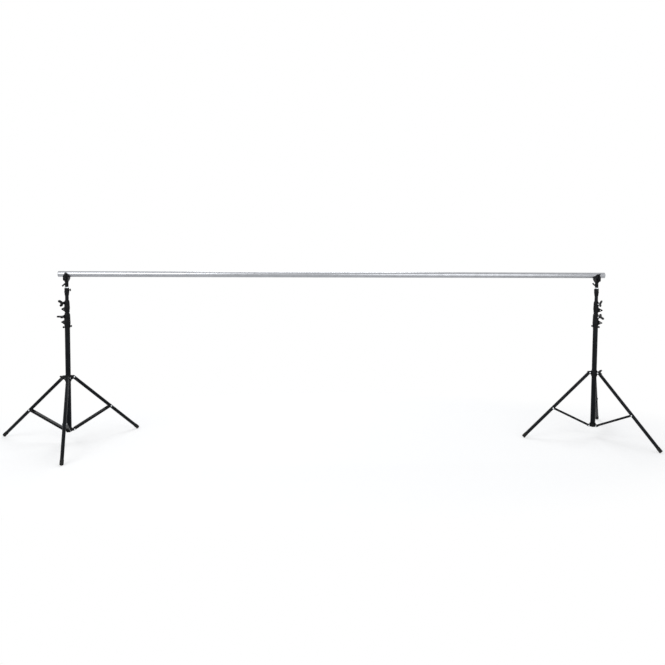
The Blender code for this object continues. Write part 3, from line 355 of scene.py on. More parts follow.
@dataclass(frozen=True)
class DrawnTube(Surface):
    """Tube drawn through a die: fine lines along it, and soft handling marks."""

    # Real draw lines are about 0.1 mm apart, which is too fine to show, so they are drawn coarser
    fine_mm: float = 0.45
    relief: float = 0.25
    depth_mm: float = 0.06
    broad_mm: float = 38.0
    cloud: Point = (5.0, 0.62)
    stops: Point = (0.42, 0.74)
    gloss_over: Point = (0.3, 0.7)
    gloss_change: Point = (-0.05, 0.1)
    gloss_follows_fine: bool = True
    along: Axis = Axis.Z
    # Scale along the tube, which makes each line over 160 times as long as it is wide
    along_scale: float = 0.006

    def fine(self, tree: bpy.types.NodeTree, where: bpy.types.NodeSocket) -> bpy.types.NodeSocket:
        """Draw the lines: noise pulled out along the tube.

        Args:
            tree: the material's nodes.
            where: object coordinates.

        Returns:
            The output with the lines.
        """
        scale = tuple(self.along_scale if axis is self.along else 1.0 for axis in Axis)
        drawn = add_node(tree, "ShaderNodeMapping", {"Scale": scale}, {"Vector": where}).outputs["Vector"]
        noise = {"Scale": per_metre(self.fine_mm), "Detail": 3.0, "Roughness": 0.55}
        return add_node(tree, "ShaderNodeTexNoise", noise, {"Vector": drawn}).outputs["Fac"]


@dataclass(frozen=True)
class CoatedCasting(Surface):
    """Die casting or pressing under black paint: orange peel, and rubbed spots that shine."""


@dataclass(frozen=True)
class MouldedPolymer(Surface):
    """Moulded plastic or rubber: spark-eroded grain, and a dusting in broad random spots."""

    # Real spark-eroded grain is about 0.2 mm, which is too fine to show, so it is drawn coarser
    fine_mm: float = 0.8
    relief: float = 0.3
    depth_mm: float = 0.1
    broad_mm: float = 22.0
    cloud: Point = (6.0, 0.7)
    stops: Point = (0.4, 0.8)
    gloss_over: Point = (0.2, 0.8)
    gloss_change: Point = (-0.05, 0.1)

    def fine(self, tree: bpy.types.NodeTree, where: bpy.types.NodeSocket) -> bpy.types.NodeSocket:
        """Draw the grain: small rounded cells."""
        cells = {"feature": "SMOOTH_F1", "Scale": per_metre(self.fine_mm), "Smoothness": 0.6}
        return add_node(tree, "ShaderNodeTexVoronoi", cells, {"Vector": where}).outputs["Distance"]


@dataclass(frozen=True)
class PlatedSteel(Surface):
    """Turned steel with bright zinc: a fine tooth from the lathe and a slightly milky cloud."""

    # Real tool marks are about 0.15 mm apart, which is too fine to show, so they are drawn coarser
    fine_mm: float = 0.5
    metallic: float = 1.0
    relief: float = 0.15
    depth_mm: float = 0.05
    broad_mm: float = 9.0
    cloud: Point = (4.0, 0.6)
    stops: Point = (0.4, 0.75)
    gloss_over: Point = (0.3, 0.7)
    gloss_change: Point = (-0.06, 0.12)


class Finish(Enum):
    """The finishes of the stand, each named for the real material."""

    # Bare drawn tube: bright, with long grey draw lines and a few handling marks
    BARE_ALUMINIUM = DrawnTube(
        "bare_drawn_aluminium", "a8aaae", "9c9ea2", 0.28, metallic=1.0, relief=0.02, along=Axis.X
    )
    # Black anodised tube: deep blue-black, with a dull flash along its length
    BLACK_ANODISED = DrawnTube(
        "black_anodised_aluminium", "0b0d10", "14171b", 0.34, metallic=0.3, specular=0.1
    )
    # Black paint on the die-cast collars, hubs and clamps
    BLACK_CASTING = CoatedCasting("black_painted_die_casting", "0a0b0d", "16181a", 0.48, specular=0.1)
    # Thin powder coat on the pressed channel braces
    BLACK_PRESSING = CoatedCasting(
        "black_powder_coated_pressing", "0b0c0e", "1a1c1f", 0.44, fine_mm=1.2, specular=0.1
    )
    # Blackened steel of the clamp screws and levers, with polished spots at random
    BLACK_STEEL = CoatedCasting(
        "blackened_steel", "0e0f11", "26282b", 0.38, metallic=0.5, fine_mm=0.6, specular=0.1
    )
    # Glass-filled nylon of the wing knobs
    BLACK_NYLON = MouldedPolymer("black_glass_filled_nylon", "0d0e10", "191a1c", 0.48, specular=0.2)
    # Rubber of the feet, dull and a little dusty in random spots
    BLACK_RUBBER = MouldedPolymer(
        "black_vulcanised_rubber", "101010", "262523", 0.72, fine_mm=1.1, relief=0.45, specular=0.2
    )
    # Grey plastic end plugs, their grey painted darker as painted shade at the bar's ends, so they read darker than
    # the tube that they close
    GREY_PLASTIC = MouldedPolymer("grey_polyethylene", "7a7d81", "696c70", 0.5, fine_mm=0.9)
    # Zinc-plated studs, rivets and bolts
    PLATED_STEEL = PlatedSteel("zinc_plated_steel", "d2d4d7", "b4b7bb", 0.26)


class Paintbox:
    """Makes each finish's material once."""

    _made: dict[Finish, bpy.types.Material] = {}

    @classmethod
    def of(cls, finish: Finish) -> bpy.types.Material:
        """Return the material of a finish.

        Args:
            finish: one of the stand's finishes.

        Returns:
            Its material, the same one each time.
        """
        if finish not in cls._made:
            cls._made[finish] = finish.value.material()
        return cls._made[finish]


# Shapes


def shift(x: float = 0.0, y: float = 0.0, z: float = 0.0) -> Matrix:
    """Matrix of a move."""
    return Matrix.Translation((x, y, z))


def turn(degrees: float, axis: Axis) -> Matrix:
    """Matrix of a turn about one axis."""
    return Matrix.Rotation(math.radians(degrees), 4, axis.value)


def arc(centre: Point, radius: float, start: float, end: float, count: int) -> list[Point]:
    """Points of an arc.

    Args:
        centre: middle of the arc.
        radius: its radius.
        start: first angle in degrees.
        end: last angle in degrees.
        count: how many points.

    Returns:
        The points in order.
    """
    angles = [math.radians(start + (end - start) * step / (count - 1)) for step in range(count)]
    return [(centre[0] + radius * math.cos(a), centre[1] + radius * math.sin(a)) for a in angles]


def dome(radius: float, height: float, level: float, angles: Sequence[float]) -> list[Point]:
    """Points of a dome's outline, at angles in radians from its top."""
    return [(radius * math.sin(a), level + height * math.cos(a)) for a in angles]


def steps(origin: Point, unit: Point, *points: Point) -> list[Point]:
    """Outline points counted in steps of their own.

    Args:
        origin: radius and height that they are counted from.
        unit: size of a step outwards and of a step upwards.
        points: steps outwards and upwards.

    Returns:
        The points in metres.
    """
    return [(origin[0] + out * unit[0], origin[1] + up * unit[1]) for out, up in points]


def thread(radius: float, pitch: float, turns: int, crest: float, depth: float) -> list[Point]:
    """Outline of a thread, from level 0 down.

    Args:
        radius: radius over the crests.
        pitch: height of a turn.
        turns: how many turns.
        crest: where the crest ends, as a share of the pitch.
        depth: depth of the roots.

    Returns:
        The end of the crest and the root of each turn.
    """
    points: list[Point] = []
    for count in range(turns):
        level = -count * pitch
        points += [(radius, level - crest * pitch), (radius - depth, level - 0.55 * pitch)]
    return points


class Shape:
    """One piece in the making: closed shells that share a mesh, each with its finish."""

    def __init__(self, finish: Finish, place: Matrix | None = None) -> None:
        """Start with nothing.

        Args:
            finish: finish of each shell that names no other.
            place: frame of each shell that names no other.
        """
        self.bm = bmesh.new()
        self.finish = finish
        self.place = place
        self.finishes: list[Finish] = []

    def _take(
        self, shell: bmesh.types.BMesh, finish: Finish | None = None, place: Matrix | None = None
    ) -> Shape:
        """Add a finished shell at its place.

        Args:
            shell: the shell, which is used up.
            finish: its finish, if not the shape's.
            place: its frame, if not the shape's.

        Returns:
            The shape, for the next call.
        """
        finish, place = finish or self.finish, place or self.place
        if finish not in self.finishes:
            self.finishes.append(finish)
        if place:
            bmesh.ops.transform(shell, matrix=place, verts=shell.verts)
        bmesh.ops.recalc_face_normals(shell, faces=shell.faces)
        for face in shell.faces:
            face.material_index = self.finishes.index(finish)
            face.smooth = True
        carrier = bpy.data.meshes.new("carrier")
        shell.to_mesh(carrier)
        shell.free()
        self.bm.from_mesh(carrier)
        bpy.data.meshes.remove(carrier)
        return self

    @staticmethod
    def _round(
        shell: bmesh.types.BMesh, round_mm: float, segments: int = 2, sharper_than: float = 50.0
    ) -> None:
        """Round the edges that turn by more than an angle.

        Args:
            shell: the shell to round.
            round_mm: how far each edge is taken back in millimetres.
            segments: steps across the rounding.
            sharper_than: smallest turn in degrees that is rounded.
        """
        limit = math.radians(sharper_than)
        edges = [e for e in shell.edges if e.is_manifold and e.calc_face_angle(0.0) > limit]
        if edges and round_mm > 0:
            bmesh.ops.bevel(
                shell,
                geom=edges,
                offset=round_mm * MM,
                offset_type="OFFSET",
                segments=segments,
                profile=0.5,
                affect="EDGES",
                clamp_overlap=True,
                material=-1,
            )

    def turned(
        self,
        outline: Sequence[Point],
        place: Matrix | None = None,
        finish: Finish | None = None,
        segments: int = ROUND,
        ring: bool = False,
        round_mm: float = 0.0,
        opening: float = 0.0,
    ) -> Shape:
        """Add a body of revolution about the local Z axis.

        Args:
            outline: radius and height of each corner.
            place: its frame, if not the shape's.
            finish: its finish, if not the shape's.
            segments: steps round it.
            ring: whether the outline closes on itself.
            round_mm: rounding of its rims in millimetres.
            opening: width in degrees of a slit about +X, for a closed outline.

        Returns:
            The shape, for the next call.
        """
        shell = bmesh.new()
        first = math.radians(opening / 2)
        verts = [shell.verts.new((r * math.cos(first), r * math.sin(first), z)) for r, z in outline]
        pairs = list(zip(verts, verts[1:]))
        if ring:
            pairs.append((verts[-1], verts[0]))
        edges = [shell.edges.new(pair) for pair in pairs]
        bmesh.ops.spin(
            shell,
            geom=verts + edges,
            cent=(0, 0, 0),
            axis=(0, 0, 1),
            dvec=(0, 0, 0),
            angle=2 * math.pi - 2 * first,
            steps=segments,
            use_merge=opening == 0,
            use_normal_flip=False,
            use_duplicate=False,
        )
        bmesh.ops.remove_doubles(shell, verts=shell.verts, dist=1e-7)
        rims = [edge for edge in shell.edges if edge.is_boundary]
        if rims:
            bmesh.ops.edgeloop_fill(shell, edges=rims)
        self._round(shell, round_mm, sharper_than=35.0)
        return self._take(shell, finish, place)

    def rod(
        self,
        start: Place,
        end: Place,
        radius: float,
        end_radius: float | None = None,
        place: Matrix | None = None,
        finish: Finish | None = None,
        round_mm: float = 0.3,
    ) -> Shape:
        """Add a round rod or cone between two points, with eased rims.

        Args:
            start: middle of its first end.
            end: middle of its last end.
            radius: radius at the first end.
            end_radius: radius at the last end, if it tapers.
            place: frame of the two points, if not the shape's.
            finish: its finish, if not the shape's.
            round_mm: rounding of its rims in millimetres.

        Returns:
            The shape, for the next call.
        """
        first, last = Vector(start), Vector(end)
        along = last - first
        lay = Vector((0, 0, 1)).rotation_difference(along).to_matrix().to_4x4()
        shell = bmesh.new()
        bmesh.ops.create_cone(
            shell,
            cap_ends=True,
            segments=ROUND_SMALL,
            radius1=radius,
            radius2=radius if end_radius is None else end_radius,
            depth=along.length,
            matrix=Matrix.Translation((first + last) / 2) @ lay,
        )
        self._round(shell, round_mm)
        return self._take(shell, finish, place)

    def ball(self, centre: Place, radius: float) -> Shape:
        """Add a ball.

        Args:
            centre: its middle, in the shape's frame.
            radius: its radius.

        Returns:
            The shape, for the next call.
        """
        shell, place = bmesh.new(), Matrix.Translation(centre)
        bmesh.ops.create_uvsphere(shell, u_segments=24, v_segments=16, radius=radius, matrix=place)
        return self._take(shell)

    def plate(
        self,
        outline: Sequence[Point],
        thickness: float,
        place: Matrix | None = None,
        holes: Iterable[tuple[Point, float]] = (),
        round_mm: float = 0.6,
        segments: int = 3,
    ) -> Shape:
        """Add a flat outline in the XZ plane with a thickness across Y.

        Args:
            outline: X and Z of each corner.
            thickness: size along Y.
            place: frame of the outline, if not the shape's.
            holes: centre and radius of each round hole.
            round_mm: rounding of its edges in millimetres.
            segments: steps across the rounding.

        Returns:
            The shape, for the next call.
        """
        shell = bmesh.new()
        loops = [list(outline)] + [arc(c, r, 0, 345, 24) for c, r in holes]
        edges = []
        for loop in loops:
            verts = [shell.verts.new((x, -thickness / 2, z)) for x, z in loop]
            edges += [shell.edges.new(pair) for pair in zip(verts, verts[1:] + verts[:1])]
        if len(loops) == 1:
            bmesh.ops.contextual_create(shell, geom=list(shell.verts) + edges)
        else:
            bmesh.ops.triangle_fill(shell, use_beauty=True, use_dissolve=False, edges=edges)
        raised = bmesh.ops.extrude_face_region(shell, geom=list(shell.faces), use_keep_orig=True)
        moved = [item for item in raised["geom"] if isinstance(item, bmesh.types.BMVert)]
        bmesh.ops.translate(shell, vec=(0, thickness, 0), verts=moved)
        bmesh.ops.recalc_face_normals(shell, faces=shell.faces)
        self._round(shell, round_mm, segments)
        return self._take(shell, place=place)

    def casting(self, node: str, round_mm: float) -> Shape:
        """Add a rounded copy of a CAD node's solid, at the node's own place.

        Args:
            node: the CAD node.
            round_mm: rounding of its edges in millimetres.

        Returns:
            The shape, for the next call.
        """
        shell = bmesh.new()
        shell.from_mesh(frame["nodes"][node].data)
        bmesh.ops.remove_doubles(shell, verts=shell.verts, dist=2e-6)
        bmesh.ops.dissolve_limit(
            shell, angle_limit=math.radians(1.0), verts=shell.verts, edges=shell.edges
        )
        self._round(shell, round_mm, sharper_than=40.0)
        return self._take(shell)

    def done(self, side: Side | None, name: str, body: str, node: str, slot: str) -> None:
        """Make the object, dress it and fix it to its body.

        Args:
            side: the stand whose prefix all three names get, or none.
            name: the piece's name.
            body: the CAD body that carries it.
            node: the CAD node that it stands for.
            slot: the record's slot that names its finish.
        """
        tag = side.tag if side else ""
        mesh = bpy.data.meshes.new(tag + name)
        self.bm.to_mesh(mesh)
        self.bm.free()
        for finish in self.finishes:
            mesh.materials.append(Paintbox.of(finish))
        mesh.set_sharp_from_angle(angle=math.radians(SMOOTH_UNDER))
        piece = put(tag + name, mesh)
        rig.ride(piece, tag + body)
        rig.replaces(piece, tag + node)
        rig.slot(piece, slot)
        log.info("%s: %d faces, on %s", piece.name, len(mesh.polygons), tag + body)


# Crossbar


@dataclass
class Crossbar:
    """Drawn tube in one length with a plug in each end."""

    centre: Vector
    length: float = 3.658
    radius: float = 19.05 * MM
    wall: float = 1.6 * MM
    plug_lip: float = 2.5 * MM
    plug_depth: float = 22.0 * MM

    def build(self) -> None:
        """Make the tube and its plugs."""
        half, inner = self.length / 2, self.radius - self.wall
        middle = Matrix.Translation(self.centre)
        outline = [(self.radius, -half), (self.radius, half), (inner, half), (inner, -half)]
        tube = Shape(Finish.BARE_ALUMINIUM, middle @ turn(90, Axis.Y))
        tube.turned(outline, ring=True, round_mm=0.35)
        tube.done(None, "bar_tube", "bar", "crossbar", "bare_aluminium_tube")
        for side, way in ((Side.LEFT, -90), (Side.RIGHT, 90)):
            self._plug(side, middle @ turn(way, Axis.Y) @ shift(z=half + GAP))

    def _plug(self, side: Side, place: Matrix) -> None:
        """Make one end plug: dished face, lip and the plain sleeve inside the tube.

        Args:
            side: the end of the bar.
            place: frame at that end, its Z axis outwards.
        """
        out, lip, depth = self.radius, self.plug_lip, self.plug_depth
        seat = out - self.wall - GAP
        outline = steps((0, 0), (out, lip), (0, 0.72), (0.42, 0.78), (0.5, 1), (0.8, 0.86), (0.95, 0.55))
        outline += [(out, 0.18 * lip), (out, 0.0), (seat, 0.0), (seat, -depth)]
        outline += [(seat - self.wall, -depth), (seat - self.wall, -lip), (0.0, -lip)]
        # The plug's grey is darkened as painted shade at the bar's end
        plug = Shape(Finish.GREY_PLASTIC, place).turned(outline, round_mm=0.2)
        plug.done(None, side.tag + "bar_cap", "bar", side.tag + "bar_plug", "grey_plastic")


# Columns


@dataclass
class ColumnTubes:
    """The three tubes of a telescopic column."""

    side: Side
    foot: Vector
    base_radius: float = 16.5 * MM
    lower_radius: float = 14.0 * MM
    upper_radius: float = 11.5 * MM
    wall: float = 1.5 * MM
    bush: float = 30.0 * MM

    def build(self) -> None:
        """Make the tubes, each with a bush at its foot where it runs in the one before."""
        around = None
        for name, node, body, radius in (
            ("base_tube", "base_column", "base", self.base_radius),
            ("lower_tube", "lower_riser", "lower_stage", self.lower_radius),
            ("upper_tube", "upper_riser", "upper_stage", self.upper_radius),
        ):
            low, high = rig.box(self.side.tag + node)
            foot = [(radius, low.z)]
            if around is not None:
                bush, step = around - self.wall - GAP, low.z + self.bush
                foot = [(radius, step), (bush, step - GAP), (bush, low.z)]
            inner, around = radius - self.wall, radius
            outline = [(radius, high.z), *foot, (inner, low.z), (inner, high.z)]
            tube = Shape(Finish.BLACK_ANODISED, shift(self.foot.x, self.foot.y))
            tube.turned(outline, ring=True, round_mm=0.3).done(self.side, name, body, node, "black_tube")


@dataclass
class SplitCollar:
    """Cast collar with a slit, a pair of clamp ears and a pierced lug."""

    side: Side
    name: str
    body: str
    place: Matrix
    wing_turn: float
    tube: float
    riser: float
    height: float
    eye_level: float
    mouth_depth: float = 10.5 * MM
    wall: float = 1.8 * MM
    belly: float = 3.4 * MM
    ear_level: float = 0.77
    ear_radius: float = 8.5 * MM
    ears_width: float = 23.0 * MM
    knob_radius: float = 7.5 * MM
    washer_radius: float = 4.6 * MM
    slot_width: float = 2.4 * MM
    eye_reach: float = 31.0 * MM
    eye_height: float = 34.0 * MM
    eye_thickness: float = 6.0 * MM
    eye_hole: float = 3.2 * MM
    eye_rim: float = 1.7 * MM

    @property
    def bolt(self) -> Point:
        """Place of the clamp bolt, far enough out for the knob to clear the barrel.

        Returns:
            Its distance from the axis and its level over the collar's foot.
        """
        barrel = self.tube + GAP + (self.wall + self.belly) / 2
        inset = math.sqrt(barrel**2 - (self.ears_width / 2) ** 2)
        return inset + self.knob_radius + GAP, self.height * self.ear_level

    def build(self) -> None:
        """Make the casting, then its wing knob."""
        shape = Shape(Finish.BLACK_CASTING, self.place)
        self._barrel(shape)
        self._ears(shape)
        self._lug(shape)
        collar = self.name + "_collar"
        shape.done(self.side, collar + "_casting", self.body, collar, "black_casting")
        reach, level = self.bolt
        seat = self.place @ shift(reach, self.ears_width / 2 + GAP, level) @ turn(-90, Axis.X)
        WingKnob(self.side, self.name, seat @ turn(self.wing_turn, Axis.Z)).build()

    def _barrel(self, shape: Shape) -> None:
        """Add the whole lower barrel, and the upper one with its slit and mouth.

        Args:
            shape: the casting.
        """
        bore, neck = self.tube + GAP, self.riser + GAP
        foot, belly, mouth = bore + self.wall, bore + self.belly, neck + self.wall
        high, shoulder = self.height, self.height - self.mouth_depth
        slit_foot = self.bolt[1] - self.ear_radius * 1.5
        taper = foot + (belly - foot) * (shoulder - slit_foot) / (shoulder - high * 0.4)
        whole = [(taper, slit_foot), *steps((belly, 0), (MM, high), (0, 0.41), (0.1, 0.34), (0, 0.27))]
        whole += steps((foot, 0), (MM, high), (0.5, 0.21), (0, 0.185))
        whole += [*steps((foot, 0), MILLIMETRES, (0, 1), (-0.8, 0)), (bore, 0.0), (bore, slit_foot)]
        shape.turned(whole, ring=True, round_mm=0.3)
        split = [(neck, high), *steps((mouth, high), MILLIMETRES, (-0.8, 0), (0, -0.9))]
        split += steps((foot, shoulder), MILLIMETRES, (-0.3, 1.2), (0.2, -1))
        split += [(taper, slit_foot - 0.1 * MM), (bore, slit_foot - 0.1 * MM)]
        split += [(bore, shoulder + GAP), (neck, shoulder + GAP)]
        opening = math.degrees(self.slot_width / self.tube)
        shape.turned(split, ring=True, round_mm=0.25, opening=opening)

    def _ears(self, shape: Shape) -> None:
        """Add an ear with its cheek and its washer on each side of the slit.

        Args:
            shape: the casting.
        """
        reach, level = self.bolt
        half, slit, ear = self.ears_width / 2, self.slot_width / 2, self.ear_radius
        root, tip = self.tube + 1.5 * MM, reach - 1.0 * MM
        cheek = [(root, level - ear * 1.5), (tip, level - ear * 0.92)]
        cheek += [(tip, level + ear * 0.92), (root, level + ear * 1.35)]
        for way in (-1, 1):
            shape.rod((reach, way * slit, level), (reach, way * half, level), ear, round_mm=1.0)
            middle = self.place @ shift(y=way * (slit + half * 0.42))
            shape.plate(cheek, half * 0.62, middle, round_mm=1.2)
            washer = [(reach, way * (half + more), level) for more in (-0.6 * MM, 0.28 * MM)]
            shape.rod(*washer, self.washer_radius, finish=Finish.PLATED_STEEL)

    def _lug(self, shape: Shape) -> None:
        """Add the lug with its eye and the rim round the eye.

        Args:
            shape: the casting.
        """
        inside, half, level = self.tube + GAP + 0.6 * MM, self.eye_height / 2, self.eye_level
        nose = arc((self.tube + self.eye_reach - 4.0 * MM, level), 4.0 * MM, -58, 58, 7)
        lug = [(inside, level - half), *nose, (inside, level + half)]
        eye = (self.tube + self.eye_reach * 0.52, level)
        shape.plate(lug, self.eye_thickness, holes=[(eye, self.eye_hole)], round_mm=0.9)
        hole, edge = self.eye_hole, self.eye_thickness / 2
        rim = [(hole + self.eye_rim, edge), (hole + self.eye_rim, -edge), (hole, -edge), (hole, edge)]
        laid = self.place @ shift(eye[0], 0.0, level) @ turn(90, Axis.X)
        shape.turned(rim, laid, segments=ROUND_RIVET, ring=True, round_mm=0.4)


@dataclass
class WingKnob:
    """Moulded wing knob with a plated bolt moulded into it."""

    side: Side
    owner: str
    place: Matrix
    span: float = 46.0 * MM
    height: float = 38.0 * MM
    bolt_length: float = 26.0 * MM
    thickness: float = 10.5 * MM
    lobe_radius: float = 8.3 * MM
    boss_radius: float = 7.5 * MM
    bolt_radius: float = 3.0 * MM
    pitch: float = 1.25 * MM

    def build(self) -> None:
        """Make the boss, the wings and the threaded bolt with its chamfered end."""
        boss, top, lobe = self.boss_radius, self.height * 0.62, self.lobe_radius
        outline = steps((0, 0), (boss, top), (0, 1), (0.62, 1), (0.9, 0.82), (1, 0.66), (1, 0.06))
        outline += [(boss * 0.94, 0.0), (0.0, 0.0)]
        shape = Shape(Finish.BLACK_NYLON, self.place)
        shape.turned(outline, segments=ROUND_SMALL, round_mm=0.5)
        lobe_x, lobe_z = self.span / 2 - lobe, self.height - lobe
        wing = [(boss * 0.78, top * 0.1), (self.span / 2 - 0.25 * lobe, self.height * 0.52)]
        wing += arc((lobe_x, lobe_z), lobe, -24, 140, 12)
        wing += [(0.5 * lobe_x, self.height * 0.83), (0.26 * lobe_x, self.height * 0.7)]
        both = [*wing, (0.0, top * 1.04), *((-x, z) for x, z in reversed(wing))]
        shape.plate(both, self.thickness, round_mm=2.8, segments=4)
        shank, turns = self.bolt_radius, int(self.bolt_length / self.pitch) - 1
        bolt = [(0.0, 0.5 * MM), (shank, 0.5 * MM), *thread(shank, self.pitch, turns, 0.12, 0.45 * MM)]
        bolt += [(shank, -turns * self.pitch), (shank - 0.9 * MM, -self.bolt_length)]
        bolt += [(0.0, -self.bolt_length)]
        shape.turned(bolt, finish=Finish.PLATED_STEEL, segments=ROUND_BOLT)
        wing_knob = self.owner + "_wing_knob"
        shape.done(self.side, wing_knob, self.owner + "_wing", self.owner + "_knob", "black_plastic")


# Head and clamp


@dataclass
class RiserHead:
    """Casting on the top riser, its T screw and the reversible stud."""

    side: Side
    place: Matrix
    screw_turn: float
    height: float = 49.0 * MM
    neck: float = 14.2 * MM
    belly: float = 15.8 * MM
    riser: float = ColumnTubes.upper_radius
    stud: float = 8.0 * MM
    seat: float = 25.0 * MM
    screw_level: float = 36.5 * MM
    screw_reach: float = 12.5 * MM
    screw_boss: float = 5.2 * MM
    screw_radius: float = 3.0 * MM
    screw_collar: float = 4.6 * MM
    grip_half: float = 8.5 * MM
    flange_radius: float = 12.5 * MM
    flange_height: float = 7.0 * MM
    stud_above: float = 33.0 * MM
    stud_below: float = 20.0 * MM

    def build(self) -> None:
        """Make the casting, the screw and the stud."""
        self._casting()
        self._screw()
        self._stud()

    @property
    def facing(self) -> Matrix:
        """Frame of the T screw, its X axis outwards."""
        return self.place @ turn(self.screw_turn, Axis.Z) @ shift(z=self.screw_level)

    def _casting(self) -> None:
        """Make the ringed casting with the boss behind the screw."""
        high, neck, belly = self.height, self.neck, self.belly
        bore, pin = self.riser + GAP, self.stud + GAP
        outline = steps((neck, high), MILLIMETRES, (-0.6, 0), (0, -0.6))
        outline += steps((neck, 0), (MM, high), (0.1, 0.93), (0.8, 0.9), (0.8, 0.74), (0.1, 0.715))
        outline += steps((neck, 0), (MM, high), (0, 0.69), (0.4, 0.65))
        outline += steps((belly, 0), (MM, high), (-0.3, 0.61), (0, 0.57), (0, 0.45), (-0.3, 0.41))
        outline += steps((neck, 0), (MM, high), (0.3, 0.33), (0, 0.28), (0, 0.2))
        outline += steps((bore, 0), (MM, high), (1.9, 0.14), (1.6, 0.1), (1.4, 0), (0, 0))
        outline += [(bore, self.seat + GAP), (pin, self.seat + GAP), (pin, high)]
        shape = Shape(Finish.BLACK_CASTING, self.place).turned(outline, ring=True, round_mm=0.25)
        boss = (self.stud + 1.5 * MM, 0, 0), (neck + 1.6 * MM, 0, 0)
        shape.rod(*boss, self.screw_boss, place=self.facing)
        shape.done(self.side, "head_casting", "upper_stage", "riser_head", "black_casting")

    def _screw(self) -> None:
        """Make the moulded T screw with its plated shank and its waisted grip."""
        collar = self.belly + 3 * GAP
        grip, half = self.neck + self.screw_reach - 3.2 * MM, self.grip_half
        thick = self.screw_radius
        shape = Shape(Finish.BLACK_NYLON, self.facing)
        shank = (self.stud + GAP, 0, 0), (collar + 1.0 * MM, 0, 0)
        shape.rod(*shank, thick, finish=Finish.PLATED_STEEL)
        shape.rod((collar, 0, 0), (collar + 4.0 * MM, 0, 0), self.screw_collar, round_mm=0.6)
        shape.rod((collar + 3.0 * MM, 0, 0), (grip, 0, 0), thick, thick - 0.3 * MM)
        upper = [(0.0, half), (1.9 * MM, half - 0.2 * MM), (2.9 * MM, half - 1.4 * MM)]
        upper += [(3.15 * MM, half - 3.4 * MM), (2.85 * MM, 1.4 * MM)]
        bar = [*upper, *((r, -z) for r, z in reversed(upper))]
        shape.turned(bar, self.facing @ shift(x=grip), segments=ROUND_SMALL)
        shape.done(self.side, "t_screw", "head_tee", "head_screw", "black_plastic")

    def _stud(self) -> None:
        """Make the turned stud: spigot, flange and waisted pin with chamfered ends."""
        pin, flange, step = self.stud, self.flange_radius, self.flange_height
        top, foot = step + self.stud_above, -self.stud_below
        outline = [(0.0, top), *steps((pin, top), MILLIMETRES, (-1, 0), (0, -1), (0, -12))]
        outline += steps((pin, top), MILLIMETRES, (-1.2, -13.6), (-1.2, -20.4), (0, -22))
        outline += [(pin, step), *steps((flange, step), MILLIMETRES, (-0.7, 0), (0, -0.7))]
        outline += [*steps((flange, 0), MILLIMETRES, (0, 0.7), (-0.7, 0)), (pin, 0.0)]
        outline += [*steps((pin, foot), MILLIMETRES, (0, 0.8), (-0.8, 0)), (0.0, foot)]
        shape = Shape(Finish.PLATED_STEEL, self.place @ shift(z=self.height + GAP))
        shape.turned(outline).done(self.side, "stud_pin", "upper_stage", "stud", "zinc_plated_steel")


